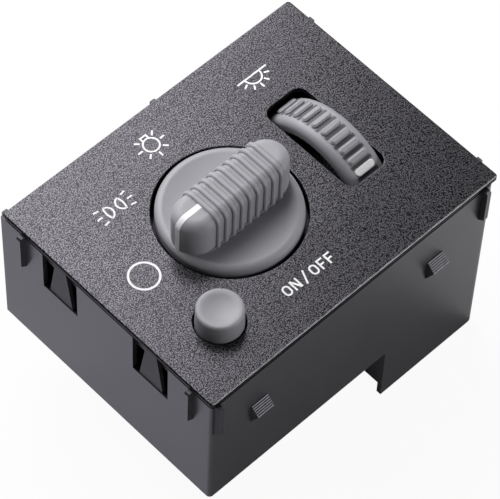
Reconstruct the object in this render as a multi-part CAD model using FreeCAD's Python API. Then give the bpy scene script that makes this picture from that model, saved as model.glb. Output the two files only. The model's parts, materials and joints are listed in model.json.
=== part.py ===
import FreeCAD, Part
import math
import os

# Headlamp switch block for a dashboard, in millimetres.
# The origin is the middle of the face plate's front surface. +Z points out of the face at the
# driver, +X runs the way the face's label is read, from the push button to the dimmer wheel.

V = FreeCAD.Vector

# Face plate
FACE_LENGTH = 100.0
FACE_WIDTH = 76.5
PLATE_THICKNESS = 1.4
PLATE_CORNER_RADIUS = 1.0
PLATE_EDGE_RADIUS = 0.4
OPENING_EDGE_RADIUS = 0.25
SKIRT_THICKNESS = 1.2
SKIRT_CLEARANCE = 0.2
COLLAR_THICKNESS = 1.2
WELL_COLLAR_DEPTH = 4.5
BAFFLE_DEPTH = 5.0
BAFFLE_LENGTH = 26.0
BOSS_RADIUS = 2.6
FACE_SCREW_INSET = 5.0

# Housing
HOUSING_INSET = 0.3
HOUSING_WALL = 1.5
HOUSING_CORNER_RADIUS = 2.5
HOUSING_RIM_DEPTH = 2.6
HOUSING_DEPTH = 46.5
FLOOR_THICKNESS = 1.5
SHROUD_LENGTH = 36.0
SHROUD_BEYOND_FLOOR = 20.9
STEP_WALL_SHORTFALL = 4.4

# Latch windows and tongues in the two end walls
WINDOW_WIDTH = 12.7
WINDOW_DEPTH = 16.9
WINDOW_SPACING = 33.2
WINDOW_CENTRE_Y = 0.75
TONGUE_ROOT_WIDTH = 8.5
TONGUE_TIP_WIDTH = 4.0
TONGUE_RECESS = 0.3
TONGUE_TIP_DEPTH = 2.9
TONGUE_CORNER_RADIUS = 0.5
LATCH_WIDTH = 3.4
LATCH_REACH = 1.3
LATCH_CLEARANCE = 0.2
LATCH_SIDE_CLEARANCE = 1.0

# Upright locating ribs outside the walls
RIB_WIDTH = 1.4
RIB_REACH = 1.9
RIB_TOP_DEPTH = 1.6
RIB_END_DEPTH = 15.0
RIB_TOP_SLOPE = 0.5
RIB_END_SLOPE = 1.5
SIDE_RIB_INSET = 7.3
FRONT_RIB_INSETS = (1.5, 4.4)
BACK_RIB_INSETS = (1.5, 47.3)

# Serrated snap wedges on the two long walls
WEDGE_INSETS = (16.35, 20.75)
WEDGE_WIDTH = 5.5
WEDGE_TOP_DEPTH = 16.0
WEDGE_CREST_DEPTH = 18.7
WEDGE_BOTTOM_DEPTH = 23.8
WEDGE_REACH = 2.6
WEDGE_TEETH = 6
TOOTH_DEPTH = 0.22

# Ribs inside the housing that carry the deck
PROP_WIDTH = 1.6
PROP_REACH = 1.8
PROP_X = (-27.0, 0.0, 27.0)

# Deck inside the housing
DECK_DEPTH = 6.0
DECK_THICKNESS = 1.8
DECK_CLEARANCE = 0.25
DECK_CORNER_RADIUS = 1.0
LAMP_WINDOW_RADIUS = 3.5

# Rotary knob
KNOB_FROM_LEFT = 42.3
KNOB_Y = 0.0
KNOB_HOLE_RADIUS = 20.05
FLANGE_RADIUS = 19.05
FLANGE_BOTTOM = -1.8
RIM_HEIGHT = 2.0
RIM_WIDTH = 2.3
RIM_SIDE_HEIGHT = 0.3
RIM_FULLNESS = 0.74
DISH_HEIGHT = 1.0
DISH_FLAT_RADIUS = 7.0
GRIP_LENGTH = 36.5
GRIP_WIDTH = 12.0
GRIP_HEIGHT = 13.2
GRIP_EDGE_RADIUS = 3.0
GRIP_FOOT_OFFSET = 0.3
GRIP_FOOT_HEIGHT = 1.7
RIDGE_COUNT = 9
RIDGE_PITCH = 2.7
RIDGE_WIDTH = 1.4
RIDGE_HEIGHT = 0.6
RIDGE_CHAMFER = 0.3
RIDGE_CENTRE = 0.9
POINTER_WIDTH = 1.6
POINTER_DEPTH = 0.6
POINTER_STAND = 0.06
POINTER_REACH = 6.4
KNOB_HUB_RADIUS = 6.0
KNOB_HUB_TAIL = 1.4
KNOB_SLEEVE_ABOVE_DECK = 3.0
KNOB_SLEEVE_BELOW_DECK = 6.2
KNOB_SLEEVE_WALL = 1.6
BEARING_CLEARANCE = 0.08
CLIP_THICKNESS = 0.8
CLIP_OUTER_RADIUS = 7.4
CLIP_GROOVE_DEPTH = 1.0
CLIP_GAP = 0.3
CLIP_MOUTH = 6.0

# Shaft from the knob down to the switch
SHAFT_RADIUS = 3.0
SHAFT_FLAT = 2.2
SHAFT_TOP = -3.4
SHAFT_END_INSET = 0.7

# Circuit board
BOARD_EDGE_GAP = 2.2
BOARD_THICKNESS = 1.6
BOARD_CORNER_RADIUS = 1.5
BOARD_STANDOFF = 1.9
BOARD_SCREW_INSET = 2.8
BOARD_BOSS_RADIUS = 2.3

# Self-tapping screws
SCREW_RADIUS = 1.1
SCREW_HEAD_RADIUS = 2.0
SCREW_HEAD_HEIGHT = 1.4
SCREW_HOLE_CLEARANCE = 0.3
FACE_SCREW_REACH = 4.6
BOARD_SCREW_REACH = 2.6
SCREW_SLOT_WIDTH = 0.6
SCREW_SLOT_DEPTH = 0.7

# Rotary switch under the knob
SWITCH_SIDE = 34.0
SWITCH_CORNER_RADIUS = 2.0
SWITCH_WALL = 1.6
SWITCH_HEIGHT = 14.5
LID_THICKNESS = 1.8
ROTOR_RADIUS = 13.0
ROTOR_THICKNESS = 3.5
ROTOR_BOTTOM_GAP = 3.2
ROTOR_HUB_RADIUS = 5.0
ROTOR_HUB_STAND = 1.2
SCALLOP_COUNT = 8
SCALLOP_RADIUS = 1.6
SCALLOP_CENTRE_RADIUS = 13.7
DETENT_BUMP_RADIUS = 1.3
LEAF_THICKNESS = 0.4
LEAF_LENGTH = 24.0
CONTACT_THICKNESS = 0.5
CONTACT_INNER_RADIUS = 7.4
CONTACT_OUTER_RADIUS = 10.4
CONTACT_ANGLE = 62.0
CONTACT_COUNT = 3
CONTACT_RIVET_RADIUS = 0.8
COMMON_INNER_RADIUS = 4.2
COMMON_OUTER_RADIUS = 6.0
WIPER_THICKNESS = 0.4
WIPER_OUTER_RADIUS = 11.0
WIPER_ARM_WIDTH = 3.0
WIPER_GAP = 0.15

# Dimmer wheel
WHEEL_FROM_RIGHT = 23.2
WHEEL_Y = -0.6
WHEEL_STAND = 4.85
WHEEL_RADIUS = 22.15
WHEEL_HALF_WIDTH = 5.65
WHEEL_SHOULDER = 2.0
WHEEL_RIM_THICKNESS = 3.4
WHEEL_WEB = 2.4
WHEEL_HUB_RADIUS = 4.5
WHEEL_RIB_HEIGHT = 0.85
WHEEL_RIB_LENGTH = 6.5
WHEEL_RIB_WIDTH = 2.0
WHEEL_RIB_CHAMFER = 0.45
WHEEL_RIB_PITCH = 9.17
WHEEL_INDEX_ANGLE = -37.0
WHEEL_RIBS_AFTER_INDEX = 9
WHEEL_RIBS_BEFORE_INDEX = 10
INDEX_LENGTH = 6.4
INDEX_WIDTH = 2.2
INDEX_POCKET_DEPTH = 1.5
INDEX_STAND = 0.35
INDEX_EDGE_CHAMFER = 0.2
SLOT_SHIFT_X = -0.65
SLOT_SHIFT_Y = 0.8
SLOT_LENGTH = 32.5
SLOT_WIDTH = 13.3
SLOT_CORNER_RADIUS = 3.0
AXLE_RADIUS = 2.0
AXLE_CLEARANCE = 0.06
CHEEK_GAP = 0.6
CHEEK_THICKNESS = 1.6
CHEEK_HALF_WIDTH = 6.0
CHEEK_CLEARANCE_AROUND_WHEEL = 0.8
AXLE_OVERHANG = 1.6
POT_SIDE = 13.0
POT_THICKNESS = 7.0
POT_CHAMFER = 1.5
POT_BORE_DEPTH = 4.0
LEAD_RADIUS = 0.4
LEAD_PITCH = 2.5
LEAD_COUNT = 3

# Push button
BUTTON_FROM_LEFT = 18.0
BUTTON_FROM_FRONT = 16.4
BUTTON_HOLE_RADIUS = 6.72
BUTTON_RADIUS = 6.28
BUTTON_TOP_RADIUS = 6.1
BUTTON_HEIGHT = 6.0
BUTTON_EDGE_RADIUS = 0.8
BUTTON_DISH_RADIUS = 4.7
BUTTON_DISH_DEPTH = 0.9
BUTTON_WALL = 1.3
BUTTON_FLANGE_RADIUS = 7.4
BUTTON_FLANGE_THICKNESS = 1.3
BUTTON_SLEEVE_BOTTOM = -6.4
BUTTON_STOP_GAP = 0.3
BUTTON_SOCKET_RADIUS = 3.2
BUTTON_SOCKET_BOTTOM = -3.0
CUP_RADIUS = 8.2
CUP_WALL = 1.3
CUP_FLOOR_DEPTH = 20.0
CUP_FLOOR_THICKNESS = 1.5
PLUNGER_RADIUS = 2.0
PLUNGER_TOP = 1.0
PLUNGER_ENTRY = 2.0
SPRING_RADIUS = 4.2
SPRING_WIRE_RADIUS = 0.36
SPRING_WIRE_SIDES = 8
SPRING_TURNS = 6
PUSH_SWITCH_SIDE = 12.7
PUSH_SWITCH_HEIGHT = 11.0
PUSH_SWITCH_BORE_DEPTH = 6.0
PUSH_SWITCH_CHAMFER = 0.8

# Backlight
DIFFUSER_THICKNESS = 1.5
DIFFUSER_CLEARANCE = 0.3
DIFFUSER_SLOT_MARGIN = 0.7
DIFFUSER_SLOT_LENGTH = 40.0
CORNER_LAMP_INSETS = (10.2, 16.45)
SIDE_LAMP_INSETS = (5.7, 20.45)
SWITCH_LAMP_GAP = 0.9
LAMP_HOLDER_RADIUS = 4.0
LAMP_HOLDER_HEIGHT = 5.0
LAMP_FLANGE_RADIUS = 4.6
LAMP_FLANGE_HEIGHT = 1.0
BULB_RADIUS = 2.5
BULB_HEIGHT = 14.0

# Connector for the vehicle's harness
HEADER_SIDE_GAP = 6.5
HEADER_END_GAP = 8.45
HEADER_WALL = 1.6
HEADER_HEIGHT = 18.9
HEADER_BASE_THICKNESS = 5.0
HEADER_CORNER_RADIUS = 1.5
HEADER_OPENING_CLEARANCE = 0.3
KEY_WIDTH = 4.0
KEY_DEPTH = 8.0
KEY_SPACING = 28.0
LATCH_RAMP_WIDTH = 8.0
LATCH_RAMP_HEIGHT = 4.0
LATCH_RAMP_REACH = 1.2
PIN_END_GAP = 5.4
PIN_PITCH = 4.5
PIN_ROW_OFFSET = 4.0
PIN_WIDTH = 1.5
PIN_THICKNESS = 0.7
PIN_TIP_RECESS = 5.0
PIN_TAPER = 1.0
PIN_TAIL_STAND = 0.6
PIN_HOLE_RADIUS = 0.95

# Heights and places that follow from the sizes above
HALF_X = FACE_LENGTH / 2 - HOUSING_INSET
HALF_Y = FACE_WIDTH / 2 - HOUSING_INSET
INNER_X = HALF_X - HOUSING_WALL
INNER_Y = HALF_Y - HOUSING_WALL
INNER_CORNER_RADIUS = HOUSING_CORNER_RADIUS - HOUSING_WALL
PLATE_BACK = -PLATE_THICKNESS
DECK_TOP = -DECK_DEPTH
DECK_BOTTOM = DECK_TOP - DECK_THICKNESS
FLOOR_BACK = -HOUSING_DEPTH
FLOOR_TOP = FLOOR_BACK + FLOOR_THICKNESS
SHROUD_BOTTOM = FLOOR_BACK - SHROUD_BEYOND_FLOOR
SHROUD_STEP_X = HALF_X - SHROUD_LENGTH
LEFT_END = -FACE_LENGTH / 2
RIGHT_END = FACE_LENGTH / 2
FRONT_END = -FACE_WIDTH / 2
KNOB_X = LEFT_END + KNOB_FROM_LEFT
KNOB_SLEEVE_TOP = DECK_TOP + KNOB_SLEEVE_ABOVE_DECK
KNOB_SLEEVE_BOTTOM = DECK_BOTTOM - KNOB_SLEEVE_BELOW_DECK
CLIP_TOP = KNOB_SLEEVE_BOTTOM - CLIP_GAP
CLIP_BOTTOM = CLIP_TOP - CLIP_THICKNESS
KNOB_HUB_BOTTOM = CLIP_BOTTOM - KNOB_HUB_TAIL
WHEEL_X = RIGHT_END - WHEEL_FROM_RIGHT
WHEEL_AXIS_Z = WHEEL_STAND - WHEEL_RADIUS
SLOT_X = WHEEL_X + SLOT_SHIFT_X
SLOT_Y = WHEEL_Y + SLOT_SHIFT_Y
BUTTON_X = LEFT_END + BUTTON_FROM_LEFT
BUTTON_Y = FRONT_END + BUTTON_FROM_FRONT
BOARD_BACK = FLOOR_TOP + BOARD_STANDOFF
BOARD_TOP = BOARD_BACK + BOARD_THICKNESS
SWITCH_FLOOR = BOARD_TOP + SWITCH_WALL
SWITCH_RIM = BOARD_TOP + SWITCH_HEIGHT
LID_TOP = SWITCH_RIM + LID_THICKNESS
CONTACT_TOP = SWITCH_FLOOR + CONTACT_THICKNESS
ROTOR_BOTTOM = SWITCH_FLOOR + ROTOR_BOTTOM_GAP
ROTOR_TOP = ROTOR_BOTTOM + ROTOR_THICKNESS
SHAFT_BOTTOM = ROTOR_BOTTOM + SHAFT_END_INSET
BOARD_LENGTH = 2 * (INNER_X - BOARD_EDGE_GAP)
BOARD_WIDTH = 2 * (INNER_Y - BOARD_EDGE_GAP)
BOARD_SCREW_X = BOARD_LENGTH / 2 - BOARD_SCREW_INSET
BOARD_SCREW_Y = BOARD_WIDTH / 2 - BOARD_SCREW_INSET
FACE_SCREW_X = INNER_X - FACE_SCREW_INSET
FACE_SCREW_Y = INNER_Y - FACE_SCREW_INSET
PLUNGER_BOTTOM = BOARD_TOP + PUSH_SWITCH_HEIGHT - PLUNGER_ENTRY
SHROUD_INNER_LEFT = SHROUD_STEP_X + HOUSING_WALL
HEADER_X = (SHROUD_INNER_LEFT + INNER_X) / 2
HEADER_WIDTH = INNER_X - SHROUD_INNER_LEFT - 2 * HEADER_SIDE_GAP
HEADER_LENGTH = 2 * (INNER_Y - HEADER_END_GAP)
HEADER_MOUTH = BOARD_BACK - HEADER_HEIGHT
PIN_TIP = HEADER_MOUTH + PIN_TIP_RECESS
PIN_ROW_LENGTH = HEADER_LENGTH - 2 * HEADER_WALL - 2 * PIN_END_GAP
PIN_COUNT = 1 + int(PIN_ROW_LENGTH / PIN_PITCH)
SWITCH_LAMP_Y = SWITCH_SIDE / 2 + LAMP_FLANGE_RADIUS + SWITCH_LAMP_GAP
LAMP_PLACES = (
    (-INNER_X + CORNER_LAMP_INSETS[0], INNER_Y - CORNER_LAMP_INSETS[1]),
    (INNER_X - SIDE_LAMP_INSETS[0], INNER_Y - SIDE_LAMP_INSETS[1]),
    (KNOB_X, KNOB_Y + SWITCH_LAMP_Y),
    (KNOB_X, KNOB_Y - SWITCH_LAMP_Y),
)
WHEEL_BODY_RADIUS = WHEEL_RADIUS - WHEEL_RIB_HEIGHT
BUTTON_FLANGE_TOP = BUTTON_SLEEVE_BOTTOM - BUTTON_STOP_GAP
BUTTON_FLANGE_BOTTOM = BUTTON_FLANGE_TOP - BUTTON_FLANGE_THICKNESS
BUTTON_CEILING = BUTTON_HEIGHT - BUTTON_DISH_DEPTH - BUTTON_WALL
CUP_FLOOR = -CUP_FLOOR_DEPTH
WINDOW_PLACES = (WINDOW_CENTRE_Y - WINDOW_SPACING / 2, WINDOW_CENTRE_Y + WINDOW_SPACING / 2)
FACE_SCREW_PLACES = [(sx * FACE_SCREW_X, sy * FACE_SCREW_Y) for sx in (-1, 1) for sy in (-1, 1)]
BOARD_SCREW_PLACES = [(sx * BOARD_SCREW_X, sy * BOARD_SCREW_Y) for sx in (-1, 1) for sy in (-1, 1)]
MARGIN = 1.0


# Shapes used by several pieces

def block(x_low, x_high, y_low, y_high, z_low, z_high):
    return Part.makeBox(x_high - x_low, y_high - y_low, z_high - z_low, V(x_low, y_low, z_low))


def centred_block(x, y, length, width, z_low, z_high):
    return block(x - length / 2, x + length / 2, y - width / 2, y + width / 2, z_low, z_high)


def drum(x, y, z_low, z_high, radius):
    return Part.makeCylinder(radius, z_high - z_low, V(x, y, z_low))


def tube(x, y, z_low, z_high, outer_radius, inner_radius):
    hole = drum(x, y, z_low - MARGIN, z_high + MARGIN, inner_radius)
    return drum(x, y, z_low, z_high, outer_radius).cut(hole)


def upright_edges(shape):
    return [edge for edge in shape.Edges if abs(edge.tangentAt(edge.FirstParameter).z) > 0.99]


def edges_at_height(shape, height):
    def lies_there(edge):
        return all(abs(vertex.Z - height) < 1e-4 for vertex in edge.Vertexes)
    return [edge for edge in shape.Edges if lies_there(edge) and abs(edge.CenterOfMass.z - height) < 1e-4]


def rounded_block(x, y, length, width, z_low, z_high, corner_radius):
    shape = centred_block(x, y, length, width, z_low, z_high)
    return shape.makeFillet(corner_radius, upright_edges(shape))


def long_round(x, y, length, width, z_low, z_high):
    """A bar with half-round ends, its length along X."""
    straight = length - width
    shape = centred_block(x, y, straight, width, z_low, z_high)
    for side in (-1, 1):
        shape = shape.fuse(drum(x + side * straight / 2, y, z_low, z_high, width / 2))
    return shape.removeSplitter()


def prism_along_x(points, x_low, x_high):
    """Extrude a closed outline of (y, z) points from x_low to x_high."""
    wire = Part.makePolygon([V(x_low, y, z) for y, z in points + points[:1]])
    return Part.Face(wire).extrude(V(x_high - x_low, 0, 0))


def prism_along_y(points, y_low, y_high):
    """Extrude a closed outline of (x, z) points from y_low to y_high."""
    wire = Part.makePolygon([V(x, y_low, z) for x, z in points + points[:1]])
    return Part.Face(wire).extrude(V(0, y_high - y_low, 0))


def rod_along_x(x_low, x_high, y, z, radius):
    return Part.makeCylinder(radius, x_high - x_low, V(x_low, y, z), V(1, 0, 0))


def mirrored_y(shape):
    return shape.mirror(V(0, 0, 0), V(0, 1, 0))


def join(shapes):
    return shapes[0].multiFuse(shapes[1:]).removeSplitter()


def screw(x, y, seat, tip, head_up):
    """A pan-head self-tapping screw whose head sits on the plane z = seat."""
    up = 1 if head_up else -1
    head_low, head_high = sorted((seat, seat + up * SCREW_HEAD_HEIGHT))
    head = drum(x, y, head_low, head_high, SCREW_HEAD_RADIUS)
    crown = head_high if head_up else head_low
    slot_low, slot_high = sorted((crown - up * SCREW_SLOT_DEPTH, crown + up * MARGIN))
    for length, width in ((SCREW_SLOT_WIDTH, SCREW_HEAD_RADIUS), (SCREW_HEAD_RADIUS, SCREW_SLOT_WIDTH)):
        head = head.cut(centred_block(x, y, length, width, slot_low, slot_high))
    shank_low, shank_high = sorted((seat, tip))
    return head.fuse(drum(x, y, shank_low, shank_high, SCREW_RADIUS)).removeSplitter()


# Face plate

def face_plate():
    plate = rounded_block(0, 0, FACE_LENGTH, FACE_WIDTH, PLATE_BACK, 0, PLATE_CORNER_RADIUS)
    knob_hole = drum(KNOB_X, KNOB_Y, PLATE_BACK - MARGIN, MARGIN, KNOB_HOLE_RADIUS)
    button_hole = drum(BUTTON_X, BUTTON_Y, PLATE_BACK - MARGIN, MARGIN, BUTTON_HOLE_RADIUS)
    slot = rounded_block(SLOT_X, SLOT_Y, SLOT_WIDTH, SLOT_LENGTH, PLATE_BACK - MARGIN, MARGIN,
                         SLOT_CORNER_RADIUS)
    plate = plate.cut(knob_hole.fuse(button_hole).fuse(slot))
    front_edges = edges_at_height(plate, 0)
    outer = [edge for edge in front_edges if on_plate_outline(edge)]
    plate = plate.makeFillet(PLATE_EDGE_RADIUS, outer)
    openings = [edge for edge in edges_at_height(plate, 0) if in_an_opening(edge)]
    plate = plate.makeFillet(OPENING_EDGE_RADIUS, openings)

    parts = [plate, face_skirt(), knob_well_collar(), button_sleeve()]
    parts += wheel_baffles()
    parts += [tube(x, y, DECK_TOP, PLATE_BACK, BOSS_RADIUS, SCREW_RADIUS) for x, y in FACE_SCREW_PLACES]
    return join(parts)


def on_plate_outline(edge):
    middle = edge.CenterOfMass
    return abs(middle.x) > FACE_LENGTH / 2 - PLATE_CORNER_RADIUS or \
        abs(middle.y) > FACE_WIDTH / 2 - PLATE_CORNER_RADIUS


def in_an_opening(edge):
    middle = edge.CenterOfMass
    near_knob = math.hypot(middle.x - KNOB_X, middle.y - KNOB_Y) < KNOB_HOLE_RADIUS / 2
    near_button = math.hypot(middle.x - BUTTON_X, middle.y - BUTTON_Y) < BUTTON_HOLE_RADIUS / 2
    in_slot = abs(middle.x - SLOT_X) <= SLOT_WIDTH / 2 + 0.01 and \
        abs(middle.y - SLOT_Y) <= SLOT_LENGTH / 2 + 0.01
    return near_knob or near_button or in_slot


def face_skirt():
    """A wall behind the plate that drops inside the housing and stands on the deck."""
    outer_x = INNER_X - SKIRT_CLEARANCE
    outer_y = INNER_Y - SKIRT_CLEARANCE
    skirt = rounded_block(0, 0, 2 * outer_x, 2 * outer_y, DECK_TOP, PLATE_BACK, INNER_CORNER_RADIUS)
    inside = centred_block(0, 0, 2 * (outer_x - SKIRT_THICKNESS), 2 * (outer_y - SKIRT_THICKNESS),
                           DECK_TOP - MARGIN, PLATE_BACK + MARGIN)
    skirt = skirt.cut(inside)
    for y in WINDOW_PLACES:
        gap = LATCH_WIDTH + 2 * LATCH_SIDE_CLEARANCE
        skirt = skirt.cut(centred_block(0, y, 2 * FACE_LENGTH, gap, DECK_TOP - MARGIN, PLATE_BACK))
    return skirt


def knob_well_collar():
    return tube(KNOB_X, KNOB_Y, -WELL_COLLAR_DEPTH, PLATE_BACK, KNOB_HOLE_RADIUS + COLLAR_THICKNESS,
                KNOB_HOLE_RADIUS)


def button_sleeve():
    return tube(BUTTON_X, BUTTON_Y, BUTTON_SLEEVE_BOTTOM, PLATE_BACK,
                BUTTON_HOLE_RADIUS + COLLAR_THICKNESS, BUTTON_HOLE_RADIUS)


def wheel_baffles():
    """Two fins beside the slot that keep the backlight off the wheel."""
    offset = SLOT_WIDTH / 2 + COLLAR_THICKNESS / 2
    return [centred_block(SLOT_X + side * offset, SLOT_Y, COLLAR_THICKNESS, BAFFLE_LENGTH,
                          -BAFFLE_DEPTH, PLATE_BACK) for side in (-1, 1)]


# Housing

def main_housing():
    body = rounded_block(0, 0, 2 * HALF_X, 2 * HALF_Y, SHROUD_BOTTOM, -HOUSING_RIM_DEPTH,
                         HOUSING_CORNER_RADIUS)
    body = body.cut(block(-FACE_LENGTH, SHROUD_STEP_X, -FACE_WIDTH, FACE_WIDTH,
                          SHROUD_BOTTOM - MARGIN, FLOOR_BACK))
    body = body.cut(rounded_block(0, 0, 2 * INNER_X, 2 * INNER_Y, FLOOR_TOP, MARGIN, INNER_CORNER_RADIUS))
    body = body.cut(shroud_hollow())
    body = body.cut(block(SHROUD_STEP_X - MARGIN, SHROUD_INNER_LEFT, -INNER_Y, INNER_Y,
                          SHROUD_BOTTOM - MARGIN, SHROUD_BOTTOM + STEP_WALL_SHORTFALL))
    body = body.cut(header_opening())
    for y in WINDOW_PLACES:
        body = body.cut(centred_block(0, y, 2 * FACE_LENGTH, WINDOW_WIDTH, -WINDOW_DEPTH, MARGIN))
    parts = [body]
    for side in (-1, 1):
        parts += [latch_tongue(side, y) for y in WINDOW_PLACES]
    parts += locating_ribs()
    for x in (-HALF_X + WEDGE_INSETS[0], HALF_X - WEDGE_INSETS[1]):
        wedge = snap_wedge(x)
        parts += [wedge, mirrored_y(wedge)]
    parts += deck_props()
    parts += [board_boss(x, y) for x, y in BOARD_SCREW_PLACES]
    return join(parts)


def shroud_hollow():
    hollow = rounded_block(0, 0, 2 * INNER_X, 2 * INNER_Y, SHROUD_BOTTOM - MARGIN, FLOOR_BACK,
                           INNER_CORNER_RADIUS)
    beyond_step = block(SHROUD_INNER_LEFT, FACE_LENGTH, -FACE_WIDTH, FACE_WIDTH,
                        2 * SHROUD_BOTTOM, FLOOR_BACK)
    return hollow.common(beyond_step)


def header_opening():
    return centred_block(HEADER_X, 0, HEADER_WIDTH + 2 * HEADER_OPENING_CLEARANCE,
                         HEADER_LENGTH + 2 * HEADER_OPENING_CLEARANCE,
                         FLOOR_BACK - MARGIN, FLOOR_TOP + MARGIN)


def latch_tongue(side, y):
    """A tapered tongue that grows from the window's lower edge and hooks over the deck."""
    outer = HALF_X - TONGUE_RECESS
    outline = [(y - TONGUE_ROOT_WIDTH / 2, -WINDOW_DEPTH), (y - TONGUE_TIP_WIDTH / 2, -TONGUE_TIP_DEPTH),
               (y + TONGUE_TIP_WIDTH / 2, -TONGUE_TIP_DEPTH), (y + TONGUE_ROOT_WIDTH / 2, -WINDOW_DEPTH)]
    tongue = prism_along_x(outline, INNER_X, outer)
    tip_edges = [edge for edge in tongue.Edges
                 if abs(edge.CenterOfMass.z + TONGUE_TIP_DEPTH) < 1e-4 and edge.Length < HOUSING_WALL]
    tongue = tongue.makeFillet(TONGUE_CORNER_RADIUS, tip_edges)
    hook_bottom = DECK_TOP + LATCH_CLEARANCE
    hook = [(INNER_X, -TONGUE_TIP_DEPTH), (INNER_X - LATCH_REACH, hook_bottom), (INNER_X, hook_bottom)]
    tongue = tongue.fuse(prism_along_y(hook, y - LATCH_WIDTH / 2, y + LATCH_WIDTH / 2))
    if side < 0:
        tongue = tongue.mirror(V(0, 0, 0), V(1, 0, 0))
    return tongue


def locating_rib(x, y, across_x, across_y):
    """A rib outside the wall point (x, y); (across_x, across_y) is the wall's outward direction."""
    outline = [(-HOUSING_WALL / 2, -HOUSING_RIM_DEPTH), (0, -HOUSING_RIM_DEPTH), (0, -RIB_TOP_DEPTH),
               (RIB_REACH - RIB_TOP_SLOPE, -RIB_TOP_DEPTH), (RIB_REACH, -RIB_TOP_DEPTH - RIB_TOP_SLOPE),
               (RIB_REACH, -RIB_END_DEPTH + RIB_END_SLOPE), (0, -RIB_END_DEPTH),
               (-HOUSING_WALL / 2, -RIB_END_DEPTH)]
    rib = prism_along_y(outline, -RIB_WIDTH / 2, RIB_WIDTH / 2)
    rib.rotate(V(0, 0, 0), V(0, 0, 1), math.degrees(math.atan2(across_y, across_x)))
    rib.translate(V(x, y, 0))
    return rib


def locating_ribs():
    ribs = []
    for side in (-1, 1):
        y = side * (HALF_Y - SIDE_RIB_INSET)
        ribs += [locating_rib(-HALF_X, y, -1, 0), locating_rib(HALF_X, y, 1, 0)]
    ribs.append(locating_rib(-HALF_X + FRONT_RIB_INSETS[0], -HALF_Y, 0, -1))
    ribs.append(locating_rib(HALF_X - FRONT_RIB_INSETS[1], -HALF_Y, 0, -1))
    ribs.append(locating_rib(-HALF_X + BACK_RIB_INSETS[0], HALF_Y, 0, 1))
    ribs.append(locating_rib(HALF_X - BACK_RIB_INSETS[1], HALF_Y, 0, 1))
    return ribs


def snap_wedge(x):
    """A snap on the front wall: saw teeth on the face side, a long plain ramp to the rear."""
    wall = -HALF_Y
    outline = [(wall + HOUSING_WALL / 2, -WEDGE_BOTTOM_DEPTH), (wall, -WEDGE_BOTTOM_DEPTH)]
    for tooth in range(WEDGE_TEETH, 0, -1):
        crest = tooth / WEDGE_TEETH
        root = (tooth - 1) / WEDGE_TEETH
        crest_z = -WEDGE_TOP_DEPTH - crest * (WEDGE_CREST_DEPTH - WEDGE_TOP_DEPTH)
        outline.append((wall - crest * WEDGE_REACH, crest_z))
        outline.append((wall - root * WEDGE_REACH + TOOTH_DEPTH, crest_z + TOOTH_DEPTH))
    outline.append((wall, -WEDGE_TOP_DEPTH))
    outline.append((wall + HOUSING_WALL / 2, -WEDGE_TOP_DEPTH))
    return prism_along_x(outline, x - WEDGE_WIDTH / 2, x + WEDGE_WIDTH / 2)


def deck_props():
    props = []
    for x in PROP_X:
        front = block(x - PROP_WIDTH / 2, x + PROP_WIDTH / 2, -INNER_Y, -INNER_Y + PROP_REACH,
                      FLOOR_TOP, DECK_BOTTOM)
        props += [front, mirrored_y(front)]
    for side in (-1, 1):
        low, high = sorted((side * INNER_X, side * (INNER_X - PROP_REACH)))
        props.append(block(low, high, WINDOW_CENTRE_Y - PROP_WIDTH / 2, WINDOW_CENTRE_Y + PROP_WIDTH / 2,
                           FLOOR_TOP, DECK_BOTTOM))
    return props


def board_boss(x, y):
    return tube(x, y, FLOOR_TOP, BOARD_BACK, BOARD_BOSS_RADIUS, SCREW_RADIUS)


# Deck

def switch_carrier():
    deck = rounded_block(0, 0, 2 * (INNER_X - DECK_CLEARANCE), 2 * (INNER_Y - DECK_CLEARANCE),
                         DECK_BOTTOM, DECK_TOP, DECK_CORNER_RADIUS)
    cup_bottom = CUP_FLOOR - CUP_FLOOR_THICKNESS
    sleeve_radius = KNOB_HUB_RADIUS + BEARING_CLEARANCE
    deck = deck.fuse(drum(KNOB_X, KNOB_Y, KNOB_SLEEVE_BOTTOM, KNOB_SLEEVE_TOP,
                          sleeve_radius + KNOB_SLEEVE_WALL))
    deck = deck.fuse(drum(BUTTON_X, BUTTON_Y, cup_bottom, DECK_TOP, CUP_RADIUS + CUP_WALL))
    for side in (-1, 1):
        deck = deck.fuse(wheel_cheek(side))
    cuts = [drum(KNOB_X, KNOB_Y, KNOB_SLEEVE_BOTTOM - MARGIN, KNOB_SLEEVE_TOP + MARGIN, sleeve_radius),
            drum(BUTTON_X, BUTTON_Y, CUP_FLOOR, DECK_TOP + MARGIN, CUP_RADIUS),
            drum(BUTTON_X, BUTTON_Y, cup_bottom - MARGIN, CUP_FLOOR + MARGIN,
                 PLUNGER_RADIUS + BEARING_CLEARANCE),
            wheel_opening(),
            wheel_axle_bore()]
    cuts += [drum(x, y, DECK_BOTTOM - MARGIN, DECK_TOP + MARGIN, LAMP_WINDOW_RADIUS) for x, y in LAMP_PLACES]
    cuts += [drum(x, y, DECK_BOTTOM - MARGIN, DECK_TOP + MARGIN, SCREW_RADIUS + SCREW_HOLE_CLEARANCE)
             for x, y in FACE_SCREW_PLACES]
    return deck.cut(cuts[0].multiFuse(cuts[1:])).removeSplitter()


def wheel_opening():
    half_width = WHEEL_HALF_WIDTH + CHEEK_GAP
    half_length = WHEEL_RADIUS + CHEEK_CLEARANCE_AROUND_WHEEL
    return block(WHEEL_X - half_width, WHEEL_X + half_width, WHEEL_Y - half_length, WHEEL_Y + half_length,
                 DECK_BOTTOM - MARGIN, DECK_TOP + MARGIN)


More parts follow.
